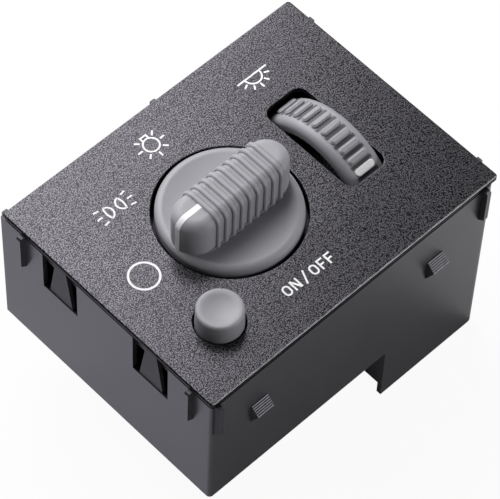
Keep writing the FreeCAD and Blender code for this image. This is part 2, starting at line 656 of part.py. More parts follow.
def wheel_cheek(side):
    inner = WHEEL_X + side * (WHEEL_HALF_WIDTH + CHEEK_GAP)
    low, high = sorted((inner, inner + side * CHEEK_THICKNESS))
    upright = block(low, high, WHEEL_Y - CHEEK_HALF_WIDTH, WHEEL_Y + CHEEK_HALF_WIDTH,
                    WHEEL_AXIS_Z, DECK_TOP)
    return upright.fuse(rod_along_x(low, high, WHEEL_Y, WHEEL_AXIS_Z, CHEEK_HALF_WIDTH))


def wheel_axle_bore():
    return rod_along_x(WHEEL_X - 2 * WHEEL_HALF_WIDTH, WHEEL_X + 2 * WHEEL_HALF_WIDTH, WHEEL_Y,
                       WHEEL_AXIS_Z, AXLE_RADIUS + AXLE_CLEARANCE)


def light_diffuser():
    back = PLATE_BACK - DIFFUSER_THICKNESS
    inset = SKIRT_CLEARANCE + SKIRT_THICKNESS + DIFFUSER_CLEARANCE
    sheet = centred_block(0, 0, 2 * (INNER_X - inset), 2 * (INNER_Y - inset), back, PLATE_BACK)
    low = back - MARGIN
    high = PLATE_BACK + MARGIN
    baffle_width = SLOT_WIDTH + 2 * COLLAR_THICKNESS + 2 * DIFFUSER_SLOT_MARGIN
    cuts = [drum(KNOB_X, KNOB_Y, low, high, KNOB_HOLE_RADIUS + COLLAR_THICKNESS + DIFFUSER_CLEARANCE),
            drum(BUTTON_X, BUTTON_Y, low, high, BUTTON_HOLE_RADIUS + COLLAR_THICKNESS + DIFFUSER_CLEARANCE),
            centred_block(SLOT_X, SLOT_Y, baffle_width, DIFFUSER_SLOT_LENGTH, low, high)]
    cuts += [drum(x, y, low, high, BOSS_RADIUS + DIFFUSER_CLEARANCE) for x, y in FACE_SCREW_PLACES]
    return sheet.cut(cuts[0].multiFuse(cuts[1:])).removeSplitter()


def carrier_screws():
    tip = DECK_BOTTOM + FACE_SCREW_REACH
    return Part.makeCompound([screw(x, y, DECK_BOTTOM, tip, False) for x, y in FACE_SCREW_PLACES])


# Knob

def rotary_knob():
    parts = [drum(KNOB_X, KNOB_Y, KNOB_HUB_BOTTOM, FLANGE_BOTTOM, KNOB_HUB_RADIUS), grip_bar(), grip_foot()]
    first = RIDGE_CENTRE - (RIDGE_COUNT - 1) * RIDGE_PITCH / 2
    parts += [grip_ridge(KNOB_X + first + number * RIDGE_PITCH) for number in range(RIDGE_COUNT)]
    knob = knob_flange()
    for part in parts:
        knob = knob.fuse(part)
    knob = knob.removeSplitter()
    knob = knob.cut(pointer_seat(MARGIN))
    knob = knob.cut(clip_groove())
    return knob.cut(knob_shaft()).removeSplitter()


def knob_flange():
    """Half section turned about the knob's axis: a rolled rim round a shallow dish."""
    crest = FLANGE_RADIUS - RIM_WIDTH
    rim_middle = V(crest + RIM_FULLNESS * RIM_WIDTH, 0,
                   RIM_SIDE_HEIGHT + RIM_FULLNESS * (RIM_HEIGHT - RIM_SIDE_HEIGHT))
    dish_middle = V((crest + DISH_FLAT_RADIUS) / 2, 0, DISH_HEIGHT + (RIM_HEIGHT - DISH_HEIGHT) / 4)
    corners = [V(DISH_FLAT_RADIUS, 0, DISH_HEIGHT), V(0, 0, DISH_HEIGHT), V(0, 0, FLANGE_BOTTOM),
               V(FLANGE_RADIUS, 0, FLANGE_BOTTOM), V(FLANGE_RADIUS, 0, RIM_SIDE_HEIGHT)]
    edges = [Part.LineSegment(a, b).toShape() for a, b in zip(corners, corners[1:])]
    edges.append(Part.Arc(corners[-1], rim_middle, V(crest, 0, RIM_HEIGHT)).toShape())
    edges.append(Part.Arc(V(crest, 0, RIM_HEIGHT), dish_middle, corners[0]).toShape())
    section = Part.Face(Part.Wire(edges))
    section.translate(V(KNOB_X, KNOB_Y, 0))
    return section.revolve(V(KNOB_X, KNOB_Y, 0), V(0, 0, 1), 360)


def grip_bar():
    bar = long_round(KNOB_X, KNOB_Y, GRIP_LENGTH, GRIP_WIDTH, FLANGE_BOTTOM, GRIP_HEIGHT)
    return bar.makeFillet(GRIP_EDGE_RADIUS, edges_at_height(bar, GRIP_HEIGHT))


def grip_foot():
    return long_round(KNOB_X, KNOB_Y, GRIP_LENGTH + 2 * GRIP_FOOT_OFFSET, GRIP_WIDTH + 2 * GRIP_FOOT_OFFSET,
                      FLANGE_BOTTOM, GRIP_FOOT_HEIGHT)


def grip_ridge(x):
    """One ridge that runs up one side of the grip, over the top and down the other side."""
    half = GRIP_WIDTH / 2 + RIDGE_HEIGHT
    ridge = block(x - RIDGE_WIDTH / 2, x + RIDGE_WIDTH / 2, KNOB_Y - half, KNOB_Y + half,
                  FLANGE_BOTTOM, GRIP_HEIGHT + RIDGE_HEIGHT)
    top_edges = [edge for edge in edges_at_height(ridge, GRIP_HEIGHT + RIDGE_HEIGHT)
                 if abs(abs(edge.CenterOfMass.y - KNOB_Y) - half) < 1e-4]
    ridge = ridge.makeFillet(GRIP_EDGE_RADIUS + RIDGE_HEIGHT, top_edges)
    side_edges = [edge for edge in ridge.Edges
                  if abs(abs(edge.CenterOfMass.x - x) - RIDGE_WIDTH / 2) < 1e-4
                  and edge.CenterOfMass.z > FLANGE_BOTTOM + 1e-4]
    return ridge.makeChamfer(RIDGE_CHAMFER, side_edges)


def front_of_grip(offset):
    """The grip's side view, grown by offset, as a solid as wide as the pointer."""
    back = KNOB_X - POINTER_REACH
    front = KNOB_X - GRIP_LENGTH / 2 - offset
    top = GRIP_HEIGHT + offset
    radius = GRIP_EDGE_RADIUS + offset
    centre = V(front + radius, 0, top - radius)
    middle = centre + V(-radius * math.sqrt(0.5), 0, radius * math.sqrt(0.5))
    low = DISH_HEIGHT
    corners = [V(front + radius, 0, top), V(back, 0, top), V(back, 0, low), V(front, 0, low),
               V(front, 0, top - radius)]
    edges = [Part.LineSegment(a, b).toShape() for a, b in zip(corners, corners[1:])]
    edges.append(Part.Arc(corners[-1], middle, corners[0]).toShape())
    side_view = Part.Face(Part.Wire(edges))
    side_view.translate(V(0, KNOB_Y - POINTER_WIDTH / 2, 0))
    return side_view.extrude(V(0, POINTER_WIDTH, 0))


def pointer_seat(stand):
    """The strip along the front of the grip between the seat's depth and the height stand."""
    rim = block(KNOB_X - GRIP_LENGTH, KNOB_X, -GRIP_WIDTH, GRIP_WIDTH, DISH_HEIGHT - MARGIN, RIM_HEIGHT)
    first_ridge = KNOB_X + RIDGE_CENTRE - (RIDGE_COUNT - 1) * RIDGE_PITCH / 2 - RIDGE_WIDTH / 2
    ridges = block(first_ridge, KNOB_X, -GRIP_WIDTH, GRIP_WIDTH, DISH_HEIGHT, 2 * GRIP_HEIGHT)
    strip = front_of_grip(stand).cut(front_of_grip(-POINTER_DEPTH))
    return strip.cut(rim).cut(ridges)


def knob_pointer():
    return pointer_seat(POINTER_STAND).removeSplitter()


def clip_groove():
    groove_radius = KNOB_HUB_RADIUS - CLIP_GROOVE_DEPTH
    return tube(KNOB_X, KNOB_Y, CLIP_BOTTOM, CLIP_TOP, CLIP_OUTER_RADIUS, groove_radius)


def knob_clip():
    mouth = block(KNOB_X, KNOB_X + 2 * CLIP_OUTER_RADIUS, KNOB_Y - CLIP_MOUTH / 2, KNOB_Y + CLIP_MOUTH / 2,
                  KNOB_HUB_BOTTOM, FLANGE_BOTTOM)
    return clip_groove().cut(mouth)


def knob_shaft():
    shaft = drum(KNOB_X, KNOB_Y, SHAFT_BOTTOM, SHAFT_TOP, SHAFT_RADIUS)
    flat = block(KNOB_X + SHAFT_FLAT, KNOB_X + 2 * SHAFT_RADIUS, KNOB_Y - SHAFT_RADIUS,
                 KNOB_Y + SHAFT_RADIUS, SHAFT_BOTTOM - MARGIN, SHAFT_TOP + MARGIN)
    return shaft.cut(flat)


# Rotary switch

def rotary_switch_base():
    base = rounded_block(KNOB_X, KNOB_Y, SWITCH_SIDE, SWITCH_SIDE, BOARD_TOP, SWITCH_RIM,
                         SWITCH_CORNER_RADIUS)
    inner = SWITCH_SIDE - 2 * SWITCH_WALL
    base = base.cut(centred_block(KNOB_X, KNOB_Y, inner, inner, SWITCH_FLOOR, SWITCH_RIM + MARGIN))
    for x, y in contact_rivets():
        base = base.cut(drum(x, y, BOARD_TOP - MARGIN, SWITCH_FLOOR + MARGIN, CONTACT_RIVET_RADIUS))
    return base


def rotary_switch_lid():
    lid = rounded_block(KNOB_X, KNOB_Y, SWITCH_SIDE, SWITCH_SIDE, SWITCH_RIM, LID_TOP, SWITCH_CORNER_RADIUS)
    return lid.cut(drum(KNOB_X, KNOB_Y, SWITCH_RIM - MARGIN, LID_TOP + MARGIN,
                        ROTOR_HUB_RADIUS + BEARING_CLEARANCE))


def contact_angles():
    return [90 + number * 360 / CONTACT_COUNT for number in range(CONTACT_COUNT)]


def contact_rivets():
    radius = (CONTACT_INNER_RADIUS + CONTACT_OUTER_RADIUS) / 2
    turns = [math.radians(angle) for angle in contact_angles()]
    places = [(KNOB_X + radius * math.cos(turn), KNOB_Y + radius * math.sin(turn)) for turn in turns]
    common = (COMMON_INNER_RADIUS + COMMON_OUTER_RADIUS) / 2
    return places + [(KNOB_X + common, KNOB_Y)]


def ring_segment(inner, outer, z_low, z_high, middle_angle, span):
    """Part of a flat ring about the knob's axis."""
    ring = Part.makeCylinder(outer, z_high - z_low, V(0, 0, z_low), V(0, 0, 1), span)
    ring = ring.cut(drum(0, 0, z_low - MARGIN, z_high + MARGIN, inner))
    ring.rotate(V(0, 0, 0), V(0, 0, 1), middle_angle - span / 2)
    ring.translate(V(KNOB_X, KNOB_Y, 0))
    return ring


def fixed_contacts():
    contacts = [ring_segment(CONTACT_INNER_RADIUS, CONTACT_OUTER_RADIUS, SWITCH_FLOOR, CONTACT_TOP, angle,
                             CONTACT_ANGLE) for angle in contact_angles()]
    contacts.append(tube(KNOB_X, KNOB_Y, SWITCH_FLOOR, CONTACT_TOP, COMMON_OUTER_RADIUS,
                         COMMON_INNER_RADIUS))
    riveted = []
    for contact, (x, y) in zip(contacts, contact_rivets()):
        rivet = drum(x, y, BOARD_TOP, CONTACT_TOP, CONTACT_RIVET_RADIUS)
        riveted.append(contact.fuse(rivet).removeSplitter())
    return Part.makeCompound(riveted)


def contact_rotor():
    rotor = drum(KNOB_X, KNOB_Y, ROTOR_BOTTOM, ROTOR_TOP, ROTOR_RADIUS)
    for number in range(SCALLOP_COUNT):
        angle = math.radians(90 + number * 360 / SCALLOP_COUNT)
        rotor = rotor.cut(drum(KNOB_X + SCALLOP_CENTRE_RADIUS * math.cos(angle),
                               KNOB_Y + SCALLOP_CENTRE_RADIUS * math.sin(angle),
                               ROTOR_BOTTOM - MARGIN, ROTOR_TOP + MARGIN, SCALLOP_RADIUS))
    rotor = rotor.fuse(drum(KNOB_X, KNOB_Y, ROTOR_TOP, LID_TOP + ROTOR_HUB_STAND, ROTOR_HUB_RADIUS))
    return rotor.cut(knob_shaft()).removeSplitter()


def wiper_contacts():
    """A flat spider under the rotor whose three toes reach down to the fixed contacts."""
    low = ROTOR_BOTTOM - WIPER_THICKNESS
    spider = tube(KNOB_X, KNOB_Y, low, ROTOR_BOTTOM, COMMON_OUTER_RADIUS, COMMON_INNER_RADIUS)
    middle = (CONTACT_INNER_RADIUS + CONTACT_OUTER_RADIUS) / 2
    for angle in contact_angles():
        arm = block(COMMON_INNER_RADIUS + WIPER_THICKNESS, WIPER_OUTER_RADIUS, -WIPER_ARM_WIDTH / 2,
                    WIPER_ARM_WIDTH / 2, low, ROTOR_BOTTOM)
        toe = block(middle - WIPER_THICKNESS, middle + WIPER_THICKNESS, -WIPER_ARM_WIDTH / 2,
                    WIPER_ARM_WIDTH / 2, CONTACT_TOP + WIPER_GAP, low)
        arm = arm.fuse(toe)
        arm.rotate(V(0, 0, 0), V(0, 0, 1), angle)
        arm.translate(V(KNOB_X, KNOB_Y, 0))
        spider = spider.fuse(arm)
    return spider.removeSplitter()


def detent_spring():
    """A leaf along the base's back wall, with a bump that rests in a scallop of the rotor."""
    wall = KNOB_Y + SWITCH_SIDE / 2 - SWITCH_WALL
    leaf = block(KNOB_X - LEAF_LENGTH / 2, KNOB_X + LEAF_LENGTH / 2, wall - LEAF_THICKNESS, wall,
                 ROTOR_BOTTOM, ROTOR_TOP)
    bump = drum(KNOB_X, KNOB_Y + SCALLOP_CENTRE_RADIUS, ROTOR_BOTTOM, ROTOR_TOP, DETENT_BUMP_RADIUS)
    neck = block(KNOB_X - DETENT_BUMP_RADIUS, KNOB_X + DETENT_BUMP_RADIUS, KNOB_Y + SCALLOP_CENTRE_RADIUS,
                 wall, ROTOR_BOTTOM, ROTOR_TOP)
    return join([leaf, bump, neck])


# Dimmer wheel

def wheel_section():
    """Half section of the wheel in (distance along the axis, radius), turned about the axle."""
    half = WHEEL_HALF_WIDTH
    body = WHEEL_BODY_RADIUS
    shoulder = WHEEL_SHOULDER
    inner = body - WHEEL_RIM_THICKNESS
    web = WHEEL_WEB / 2
    turn = shoulder * (1 - math.sqrt(0.5))

    def point(along, radius):
        return V(along, 0, radius)

    path = [point(-half + shoulder, body), point(half - shoulder, body), point(half, body - shoulder),
            point(half, inner), point(web, inner), point(web, WHEEL_HUB_RADIUS),
            point(half, WHEEL_HUB_RADIUS), point(half, AXLE_RADIUS), point(-half, AXLE_RADIUS),
            point(-half, WHEEL_HUB_RADIUS), point(-web, WHEEL_HUB_RADIUS), point(-web, inner),
            point(-half, inner), point(-half, body - shoulder)]
    edges = [Part.LineSegment(path[0], path[1]).toShape(),
             Part.Arc(path[1], point(half - turn, body - turn), path[2]).toShape()]
    edges += [Part.LineSegment(a, b).toShape() for a, b in zip(path[2:], path[3:])]
    edges.append(Part.Arc(path[-1], point(-half + turn, body - turn), path[0]).toShape())
    return Part.Face(Part.Wire(edges))


def wheel_pad(length, width, low_radius, high_radius, chamfer, angle):
    """A round-ended pad on the wheel's rim; angle is measured from the top towards +Y."""
    pad = long_round(0, 0, length, width, low_radius, high_radius)
    pad = pad.makeChamfer(chamfer, edges_at_height(pad, high_radius))
    pad.rotate(V(0, 0, 0), V(1, 0, 0), -angle)
    pad.translate(V(WHEEL_X, WHEEL_Y, WHEEL_AXIS_Z))
    return pad


def thumbwheel():
    wheel = wheel_section().revolve(V(0, 0, 0), V(1, 0, 0), 360)
    wheel.translate(V(WHEEL_X, WHEEL_Y, WHEEL_AXIS_Z))
    steps = [step for step in range(-WHEEL_RIBS_BEFORE_INDEX, WHEEL_RIBS_AFTER_INDEX + 1) if step != 0]
    base = WHEEL_BODY_RADIUS - WHEEL_SHOULDER / 2
    ribs = [wheel_pad(WHEEL_RIB_LENGTH, WHEEL_RIB_WIDTH, base, WHEEL_RADIUS, WHEEL_RIB_CHAMFER,
                      WHEEL_INDEX_ANGLE + step * WHEEL_RIB_PITCH) for step in steps]
    wheel = wheel.multiFuse(ribs).removeSplitter()
    return wheel.cut(wheel_index())


def wheel_index():
    return wheel_pad(INDEX_LENGTH, INDEX_WIDTH, WHEEL_BODY_RADIUS - INDEX_POCKET_DEPTH,
                     WHEEL_BODY_RADIUS + INDEX_STAND, INDEX_EDGE_CHAMFER, WHEEL_INDEX_ANGLE)


def pot_face_x():
    return WHEEL_X + WHEEL_HALF_WIDTH + CHEEK_GAP + CHEEK_THICKNESS


def wheel_axle():
    low = WHEEL_X - WHEEL_HALF_WIDTH - CHEEK_GAP - CHEEK_THICKNESS - AXLE_OVERHANG
    high = pot_face_x() + POT_BORE_DEPTH - CHEEK_GAP
    return rod_along_x(low, high, WHEEL_Y, WHEEL_AXIS_Z, AXLE_RADIUS)


def dimmer_potentiometer():
    low = pot_face_x()
    half = POT_SIDE / 2
    body = block(low, low + POT_THICKNESS, WHEEL_Y - half, WHEEL_Y + half, WHEEL_AXIS_Z - half,
                 WHEEL_AXIS_Z + half)
    back_edges = [edge for edge in body.Edges if abs(edge.CenterOfMass.x - low - POT_THICKNESS / 2) < 1e-4]
    body = body.makeChamfer(POT_CHAMFER, back_edges)
    return body.cut(rod_along_x(low - MARGIN, low + POT_BORE_DEPTH, WHEEL_Y, WHEEL_AXIS_Z,
                                AXLE_RADIUS + AXLE_CLEARANCE))


def potentiometer_leads():
    x = pot_face_x() + POT_THICKNESS / 2
    first = WHEEL_Y - (LEAD_COUNT - 1) * LEAD_PITCH / 2
    return Part.makeCompound([drum(x, first + number * LEAD_PITCH, BOARD_TOP, WHEEL_AXIS_Z - POT_SIDE / 2,
                                   LEAD_RADIUS) for number in range(LEAD_COUNT)])


# Push button

def button_cap():
    body = Part.makeCone(BUTTON_RADIUS, BUTTON_TOP_RADIUS, BUTTON_HEIGHT, V(BUTTON_X, BUTTON_Y, 0))
    body = body.fuse(drum(BUTTON_X, BUTTON_Y, BUTTON_FLANGE_BOTTOM, 0, BUTTON_RADIUS)).removeSplitter()
    body = body.makeFillet(BUTTON_EDGE_RADIUS, edges_at_height(body, BUTTON_HEIGHT))
    body = body.cut(button_dish())
    body = body.fuse(drum(BUTTON_X, BUTTON_Y, BUTTON_FLANGE_BOTTOM, BUTTON_FLANGE_TOP, BUTTON_FLANGE_RADIUS))
    body = body.cut(tube(BUTTON_X, BUTTON_Y, BUTTON_FLANGE_BOTTOM - MARGIN, BUTTON_CEILING,
                         BUTTON_RADIUS - BUTTON_WALL, BUTTON_SOCKET_RADIUS))
    body = body.cut(drum(BUTTON_X, BUTTON_Y, BUTTON_FLANGE_BOTTOM - MARGIN, BUTTON_SOCKET_BOTTOM,
                         BUTTON_SOCKET_RADIUS + MARGIN / 2))
    return body.cut(button_plunger()).removeSplitter()


def button_dish():
    """A shallow ball-shaped hollow in the top of the cap."""
    ball_radius = (BUTTON_DISH_RADIUS ** 2 + BUTTON_DISH_DEPTH ** 2) / (2 * BUTTON_DISH_DEPTH)
    centre = V(BUTTON_X, BUTTON_Y, BUTTON_HEIGHT - BUTTON_DISH_DEPTH + ball_radius)
    return Part.makeSphere(ball_radius, centre)


def button_plunger():
    return drum(BUTTON_X, BUTTON_Y, PLUNGER_BOTTOM, PLUNGER_TOP, PLUNGER_RADIUS)


def button_spring():
    """A coil spring between the cup's floor and the cap; its round wire is drawn with flats."""
    low = CUP_FLOOR + SPRING_WIRE_RADIUS
    high = BUTTON_CEILING - SPRING_WIRE_RADIUS
    pitch = (high - low) / SPRING_TURNS
    path = Part.makeHelix(pitch, high - low, SPRING_RADIUS)
    corners = []
    for number in range(SPRING_WIRE_SIDES):
        angle = 2 * math.pi * (number + 0.5) / SPRING_WIRE_SIDES
        corners.append(V(SPRING_RADIUS + SPRING_WIRE_RADIUS * math.cos(angle), 0,
                         SPRING_WIRE_RADIUS * math.sin(angle)))
    section = Part.makePolygon(corners + corners[:1])
    coil = Part.Wire(path).makePipeShell([section], True, True)
    coil.translate(V(BUTTON_X, BUTTON_Y, low))
    return coil


def push_switch():
    high = BOARD_TOP + PUSH_SWITCH_HEIGHT
    body = centred_block(BUTTON_X, BUTTON_Y, PUSH_SWITCH_SIDE, PUSH_SWITCH_SIDE, BOARD_TOP, high)
    body = body.makeChamfer(PUSH_SWITCH_CHAMFER, edges_at_height(body, high))
    return body.cut(drum(BUTTON_X, BUTTON_Y, high - PUSH_SWITCH_BORE_DEPTH, high + MARGIN,
                         PLUNGER_RADIUS + BEARING_CLEARANCE))


# Board, lamps and connector

def circuit_board():
    board = rounded_block(0, 0, BOARD_LENGTH, BOARD_WIDTH, BOARD_BACK, BOARD_TOP, BOARD_CORNER_RADIUS)
    cuts = [drum(x, y, BOARD_BACK - MARGIN, BOARD_TOP + MARGIN, SCREW_RADIUS + SCREW_HOLE_CLEARANCE)
            for x, y in BOARD_SCREW_PLACES]
    cuts += [drum(x, y, BOARD_BACK - MARGIN, BOARD_TOP + MARGIN, PIN_HOLE_RADIUS) for x, y in pin_places()]
    return board.cut(cuts[0].multiFuse(cuts[1:]))


def board_screws():
    tip = BOARD_TOP - BOARD_SCREW_REACH
    return Part.makeCompound([screw(x, y, BOARD_TOP, tip, True) for x, y in BOARD_SCREW_PLACES])


def lamp_holders():
    holders = []
    for x, y in LAMP_PLACES:
        body = drum(x, y, BOARD_TOP, BOARD_TOP + LAMP_HOLDER_HEIGHT, LAMP_HOLDER_RADIUS)
        flange = drum(x, y, BOARD_TOP, BOARD_TOP + LAMP_FLANGE_HEIGHT, LAMP_FLANGE_RADIUS)
        holders.append(body.fuse(flange).removeSplitter())
    return Part.makeCompound(holders)


def backlight_bulbs():
    bulbs = []
    for x, y in LAMP_PLACES:
        low = BOARD_TOP + LAMP_HOLDER_HEIGHT
        shoulder = low + BULB_HEIGHT - BULB_RADIUS
        glass = drum(x, y, low, shoulder, BULB_RADIUS).fuse(Part.makeSphere(BULB_RADIUS, V(x, y, shoulder)))
        bulbs.append(glass.removeSplitter())
    return Part.makeCompound(bulbs)


def pin_places():
    first = -(PIN_COUNT - 1) * PIN_PITCH / 2
    return [(HEADER_X + row * PIN_ROW_OFFSET, first + number * PIN_PITCH)
            for row in (-1, 1) for number in range(PIN_COUNT)]


def connector_pins():
    pins = []
    half_width = PIN_WIDTH / 2
    top = BOARD_TOP + PIN_TAIL_STAND
    outline = [(-half_width, top), (half_width, top), (half_width, PIN_TIP + PIN_TAPER),
               (half_width / 2, PIN_TIP), (-half_width / 2, PIN_TIP), (-half_width, PIN_TIP + PIN_TAPER)]
    blade = prism_along_x(outline, -PIN_THICKNESS / 2, PIN_THICKNESS / 2)
    for x, y in pin_places():
        pins.append(blade.translated(V(x, y, 0)))
    return Part.makeCompound(pins)


def connector_header():
    mouth = HEADER_MOUTH
    header = rounded_block(HEADER_X, 0, HEADER_WIDTH, HEADER_LENGTH, mouth, BOARD_BACK, HEADER_CORNER_RADIUS)
    header = header.cut(centred_block(HEADER_X, 0, HEADER_WIDTH - 2 * HEADER_WALL,
                                      HEADER_LENGTH - 2 * HEADER_WALL, mouth - MARGIN,
                                      BOARD_BACK - HEADER_BASE_THICKNESS))
    outer_wall = HEADER_X + HEADER_WIDTH / 2
    for y in (-KEY_SPACING / 2, KEY_SPACING / 2):
        header = header.cut(block(outer_wall - HEADER_WALL - MARGIN, outer_wall + MARGIN, y - KEY_WIDTH / 2,
                                  y + KEY_WIDTH / 2, mouth - MARGIN, mouth + KEY_DEPTH))
    inner_wall = HEADER_X - HEADER_WIDTH / 2
    ramp = prism_along_y([(inner_wall + HEADER_WALL / 2, mouth + LATCH_RAMP_HEIGHT),
                          (inner_wall - LATCH_RAMP_REACH, mouth + LATCH_RAMP_HEIGHT),
                          (inner_wall, mouth + LATCH_RAMP_HEIGHT / 4),
                          (inner_wall + HEADER_WALL / 2, mouth + LATCH_RAMP_HEIGHT / 4)],
                         -LATCH_RAMP_WIDTH / 2, LATCH_RAMP_WIDTH / 2)
    header = header.fuse(ramp).removeSplitter()
    return header.cut(connector_pins())


PIECES = {
    "face_plate": face_plate,
    "main_housing": main_housing,
    "switch_carrier": switch_carrier,
    "light_diffuser": light_diffuser,
    "carrier_screws": carrier_screws,
    "rotary_knob": rotary_knob,
    "knob_pointer": knob_pointer,
    "knob_clip": knob_clip,
    "knob_shaft": knob_shaft,
    "rotary_switch_base": rotary_switch_base,
    "rotary_switch_lid": rotary_switch_lid,
    "fixed_contacts": fixed_contacts,
    "contact_rotor": contact_rotor,
    "wiper_contacts": wiper_contacts,
    "detent_spring": detent_spring,
    "thumbwheel": thumbwheel,
    "wheel_index": wheel_index,
    "wheel_axle": wheel_axle,
    "dimmer_potentiometer": dimmer_potentiometer,
    "potentiometer_leads": potentiometer_leads,
    "button_cap": button_cap,
    "button_plunger": button_plunger,
    "button_spring": button_spring,
    "push_switch": push_switch,
    "circuit_board": circuit_board,
    "board_screws": board_screws,
    "lamp_holders": lamp_holders,
    "backlight_bulbs": backlight_bulbs,
    "connector_header": connector_header,
    "connector_pins": connector_pins,
}


def main():
    os.makedirs("parts", exist_ok=True)
    for name, make in PIECES.items():
        make().exportStep("parts/" + name + ".step")


main()
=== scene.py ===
import json
import math

import bmesh
import bpy
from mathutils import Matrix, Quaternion, Vector


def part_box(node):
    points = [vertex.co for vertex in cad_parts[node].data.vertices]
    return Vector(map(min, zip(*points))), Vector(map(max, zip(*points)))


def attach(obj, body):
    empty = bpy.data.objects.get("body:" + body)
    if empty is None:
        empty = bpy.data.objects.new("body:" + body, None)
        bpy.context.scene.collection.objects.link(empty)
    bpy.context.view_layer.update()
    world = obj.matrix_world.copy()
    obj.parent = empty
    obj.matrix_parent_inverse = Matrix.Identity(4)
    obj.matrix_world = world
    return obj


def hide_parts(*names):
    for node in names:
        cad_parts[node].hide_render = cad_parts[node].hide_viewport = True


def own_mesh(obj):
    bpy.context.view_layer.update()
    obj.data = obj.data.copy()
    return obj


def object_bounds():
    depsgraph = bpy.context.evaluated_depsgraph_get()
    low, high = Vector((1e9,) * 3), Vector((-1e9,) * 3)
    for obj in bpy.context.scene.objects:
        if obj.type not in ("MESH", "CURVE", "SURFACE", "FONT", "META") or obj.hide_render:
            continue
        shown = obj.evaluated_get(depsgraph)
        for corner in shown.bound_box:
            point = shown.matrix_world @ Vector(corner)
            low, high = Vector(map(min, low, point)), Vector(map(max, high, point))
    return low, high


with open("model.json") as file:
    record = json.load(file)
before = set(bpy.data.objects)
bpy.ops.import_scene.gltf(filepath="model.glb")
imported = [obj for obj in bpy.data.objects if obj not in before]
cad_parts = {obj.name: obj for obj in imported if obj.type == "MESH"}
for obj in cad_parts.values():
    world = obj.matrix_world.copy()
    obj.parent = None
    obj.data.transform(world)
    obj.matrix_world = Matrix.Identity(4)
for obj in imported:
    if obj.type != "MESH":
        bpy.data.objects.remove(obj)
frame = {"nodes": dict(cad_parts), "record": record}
cad_low, cad_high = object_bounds()

# Lengths are in metres, in the part's own frame: +Z out of the face plate, +X along its label.
MM = 0.001

# Camera, at the angle from which the switch is seen
CAMERA_LENS = 221.54
CAMERA_SENSOR = 36.0
CAMERA_AZIMUTH = -46.18
CAMERA_ELEVATION = 56.51
CAMERA_ROLL = 2.824
CAMERA_DISTANCE = 0.7661
CAMERA_TARGET = Vector((-11.94, -11.67, 0.0)) * MM
CAMERA_NEAR = 0.05
CAMERA_FAR = 20

# Studio: soft boxes, whose level is how bright their faces look, floor and surround
KEY_SOFTBOX = {"place": (0.187, 0.456, 0.429), "heading": 35, "tilt": -45,
               "width": 0.8, "height": 0.54, "level": 5.75}
FRONT_FILL = {"place": (0.42, -0.68, 0.14), "heading": 32, "tilt": 80,
              "width": 0.5, "height": 0.36, "level": 5.0}
FLOOR_SIZE = 6.0
FLOOR_GAP = 0.4 * MM
FLOOR_COLOUR = (0.86, 0.86, 0.86, 1)
FLOOR_GLOW_TO_CAMERA = 0.94
FLOOR_GLOW_IN_GLOSS = 0.52
FLOOR_TINT_IN_GLOSS = (0.92, 0.9, 1.06, 1)
SURROUND_LEVEL = 0.2
CEILING_LEVEL = 0.03
SURROUND_TOP = 0.05
CEILING_START = 0.55

# Where gloss sees the floor's glow: from none to full, measured from the switch's left side and front
GLOW_NONE_X = 8 * MM
GLOW_FULL_X = -2 * MM
GLOW_NONE_Y = -6 * MM
GLOW_FULL_Y = 4 * MM

# Sockets of Blender's Mix node
MIX_COLOUR_A = 6
MIX_COLOUR_B = 7
MIX_COLOUR_RESULT = 2
MIX_NUMBER_A = 2
MIX_NUMBER_B = 3

# Printed symbols and label, in millimetres from the face plate's left and front edges
PRINT_STROKE = 0.49
OFF_CENTRE = (13.4, 38.7)
OFF_RADIUS = 4.3
OFF_STROKE = 0.59

HEAD_CENTRE = (41.75, 66.7)
HEAD_RADIUS = 2.42
HEAD_BASE_HALF_WIDTH = 1.2
HEAD_BASE_TOP = 3.5
HEAD_RAY_INNER = 2.95
HEAD_RAY_OUTER = 4.45
HEAD_RAY_ANGLES = (45, 0, -45, -90, -135, 180, 135)

PARK_CENTRE = (21.78, 58.62)
PARK_LENS_OFFSET = 2.5
PARK_LENS_HALF_HEIGHT = 2.15
PARK_LENS_BULGE = 2.0
PARK_LENS_BACK = 0.5
PARK_RAY_OFFSETS = ((3.7, 2.06, 5.25, 2.34), (4.2, 0.0, 5.8, 0.0), (3.7, -2.06, 5.25, -2.34))

DOME_CENTRE = (75.75, 65.25)
DOME_BAR_LENGTH = 10.1
DOME_RADIUS = 2.75
DOME_RAY_INNER = 3.25
DOME_RAY_OUTER = 4.75
DOME_RAY_ANGLES = (-154.5, -122.0, -90.0, -58.0, -25.5)

LABEL_LEFT = 35.2
LABEL_BASELINE = 9.9
LETTER_HEIGHT = 3.15
LETTER_WIDTH = 2.3
LETTER_GAP = 0.62
WORD_GAP = 1.2
N_SLANT_FOOT = 1.3 * PRINT_STROKE
N_NOTCH = 1.9 * PRINT_STROKE
F_WIDTH = 0.86 * LETTER_WIDTH
F_ARM_TOP = 0.56 * LETTER_HEIGHT
F_ARM_SHORTER = 0.35
SLASH_WIDTH = 1.6
SLASH_OVERSHOOT = 0.3

# Thickness of the paint, and how finely the round strokes are cut
PRINT_THICKNESS = 0.03 * MM
ROUND_STEPS = 48

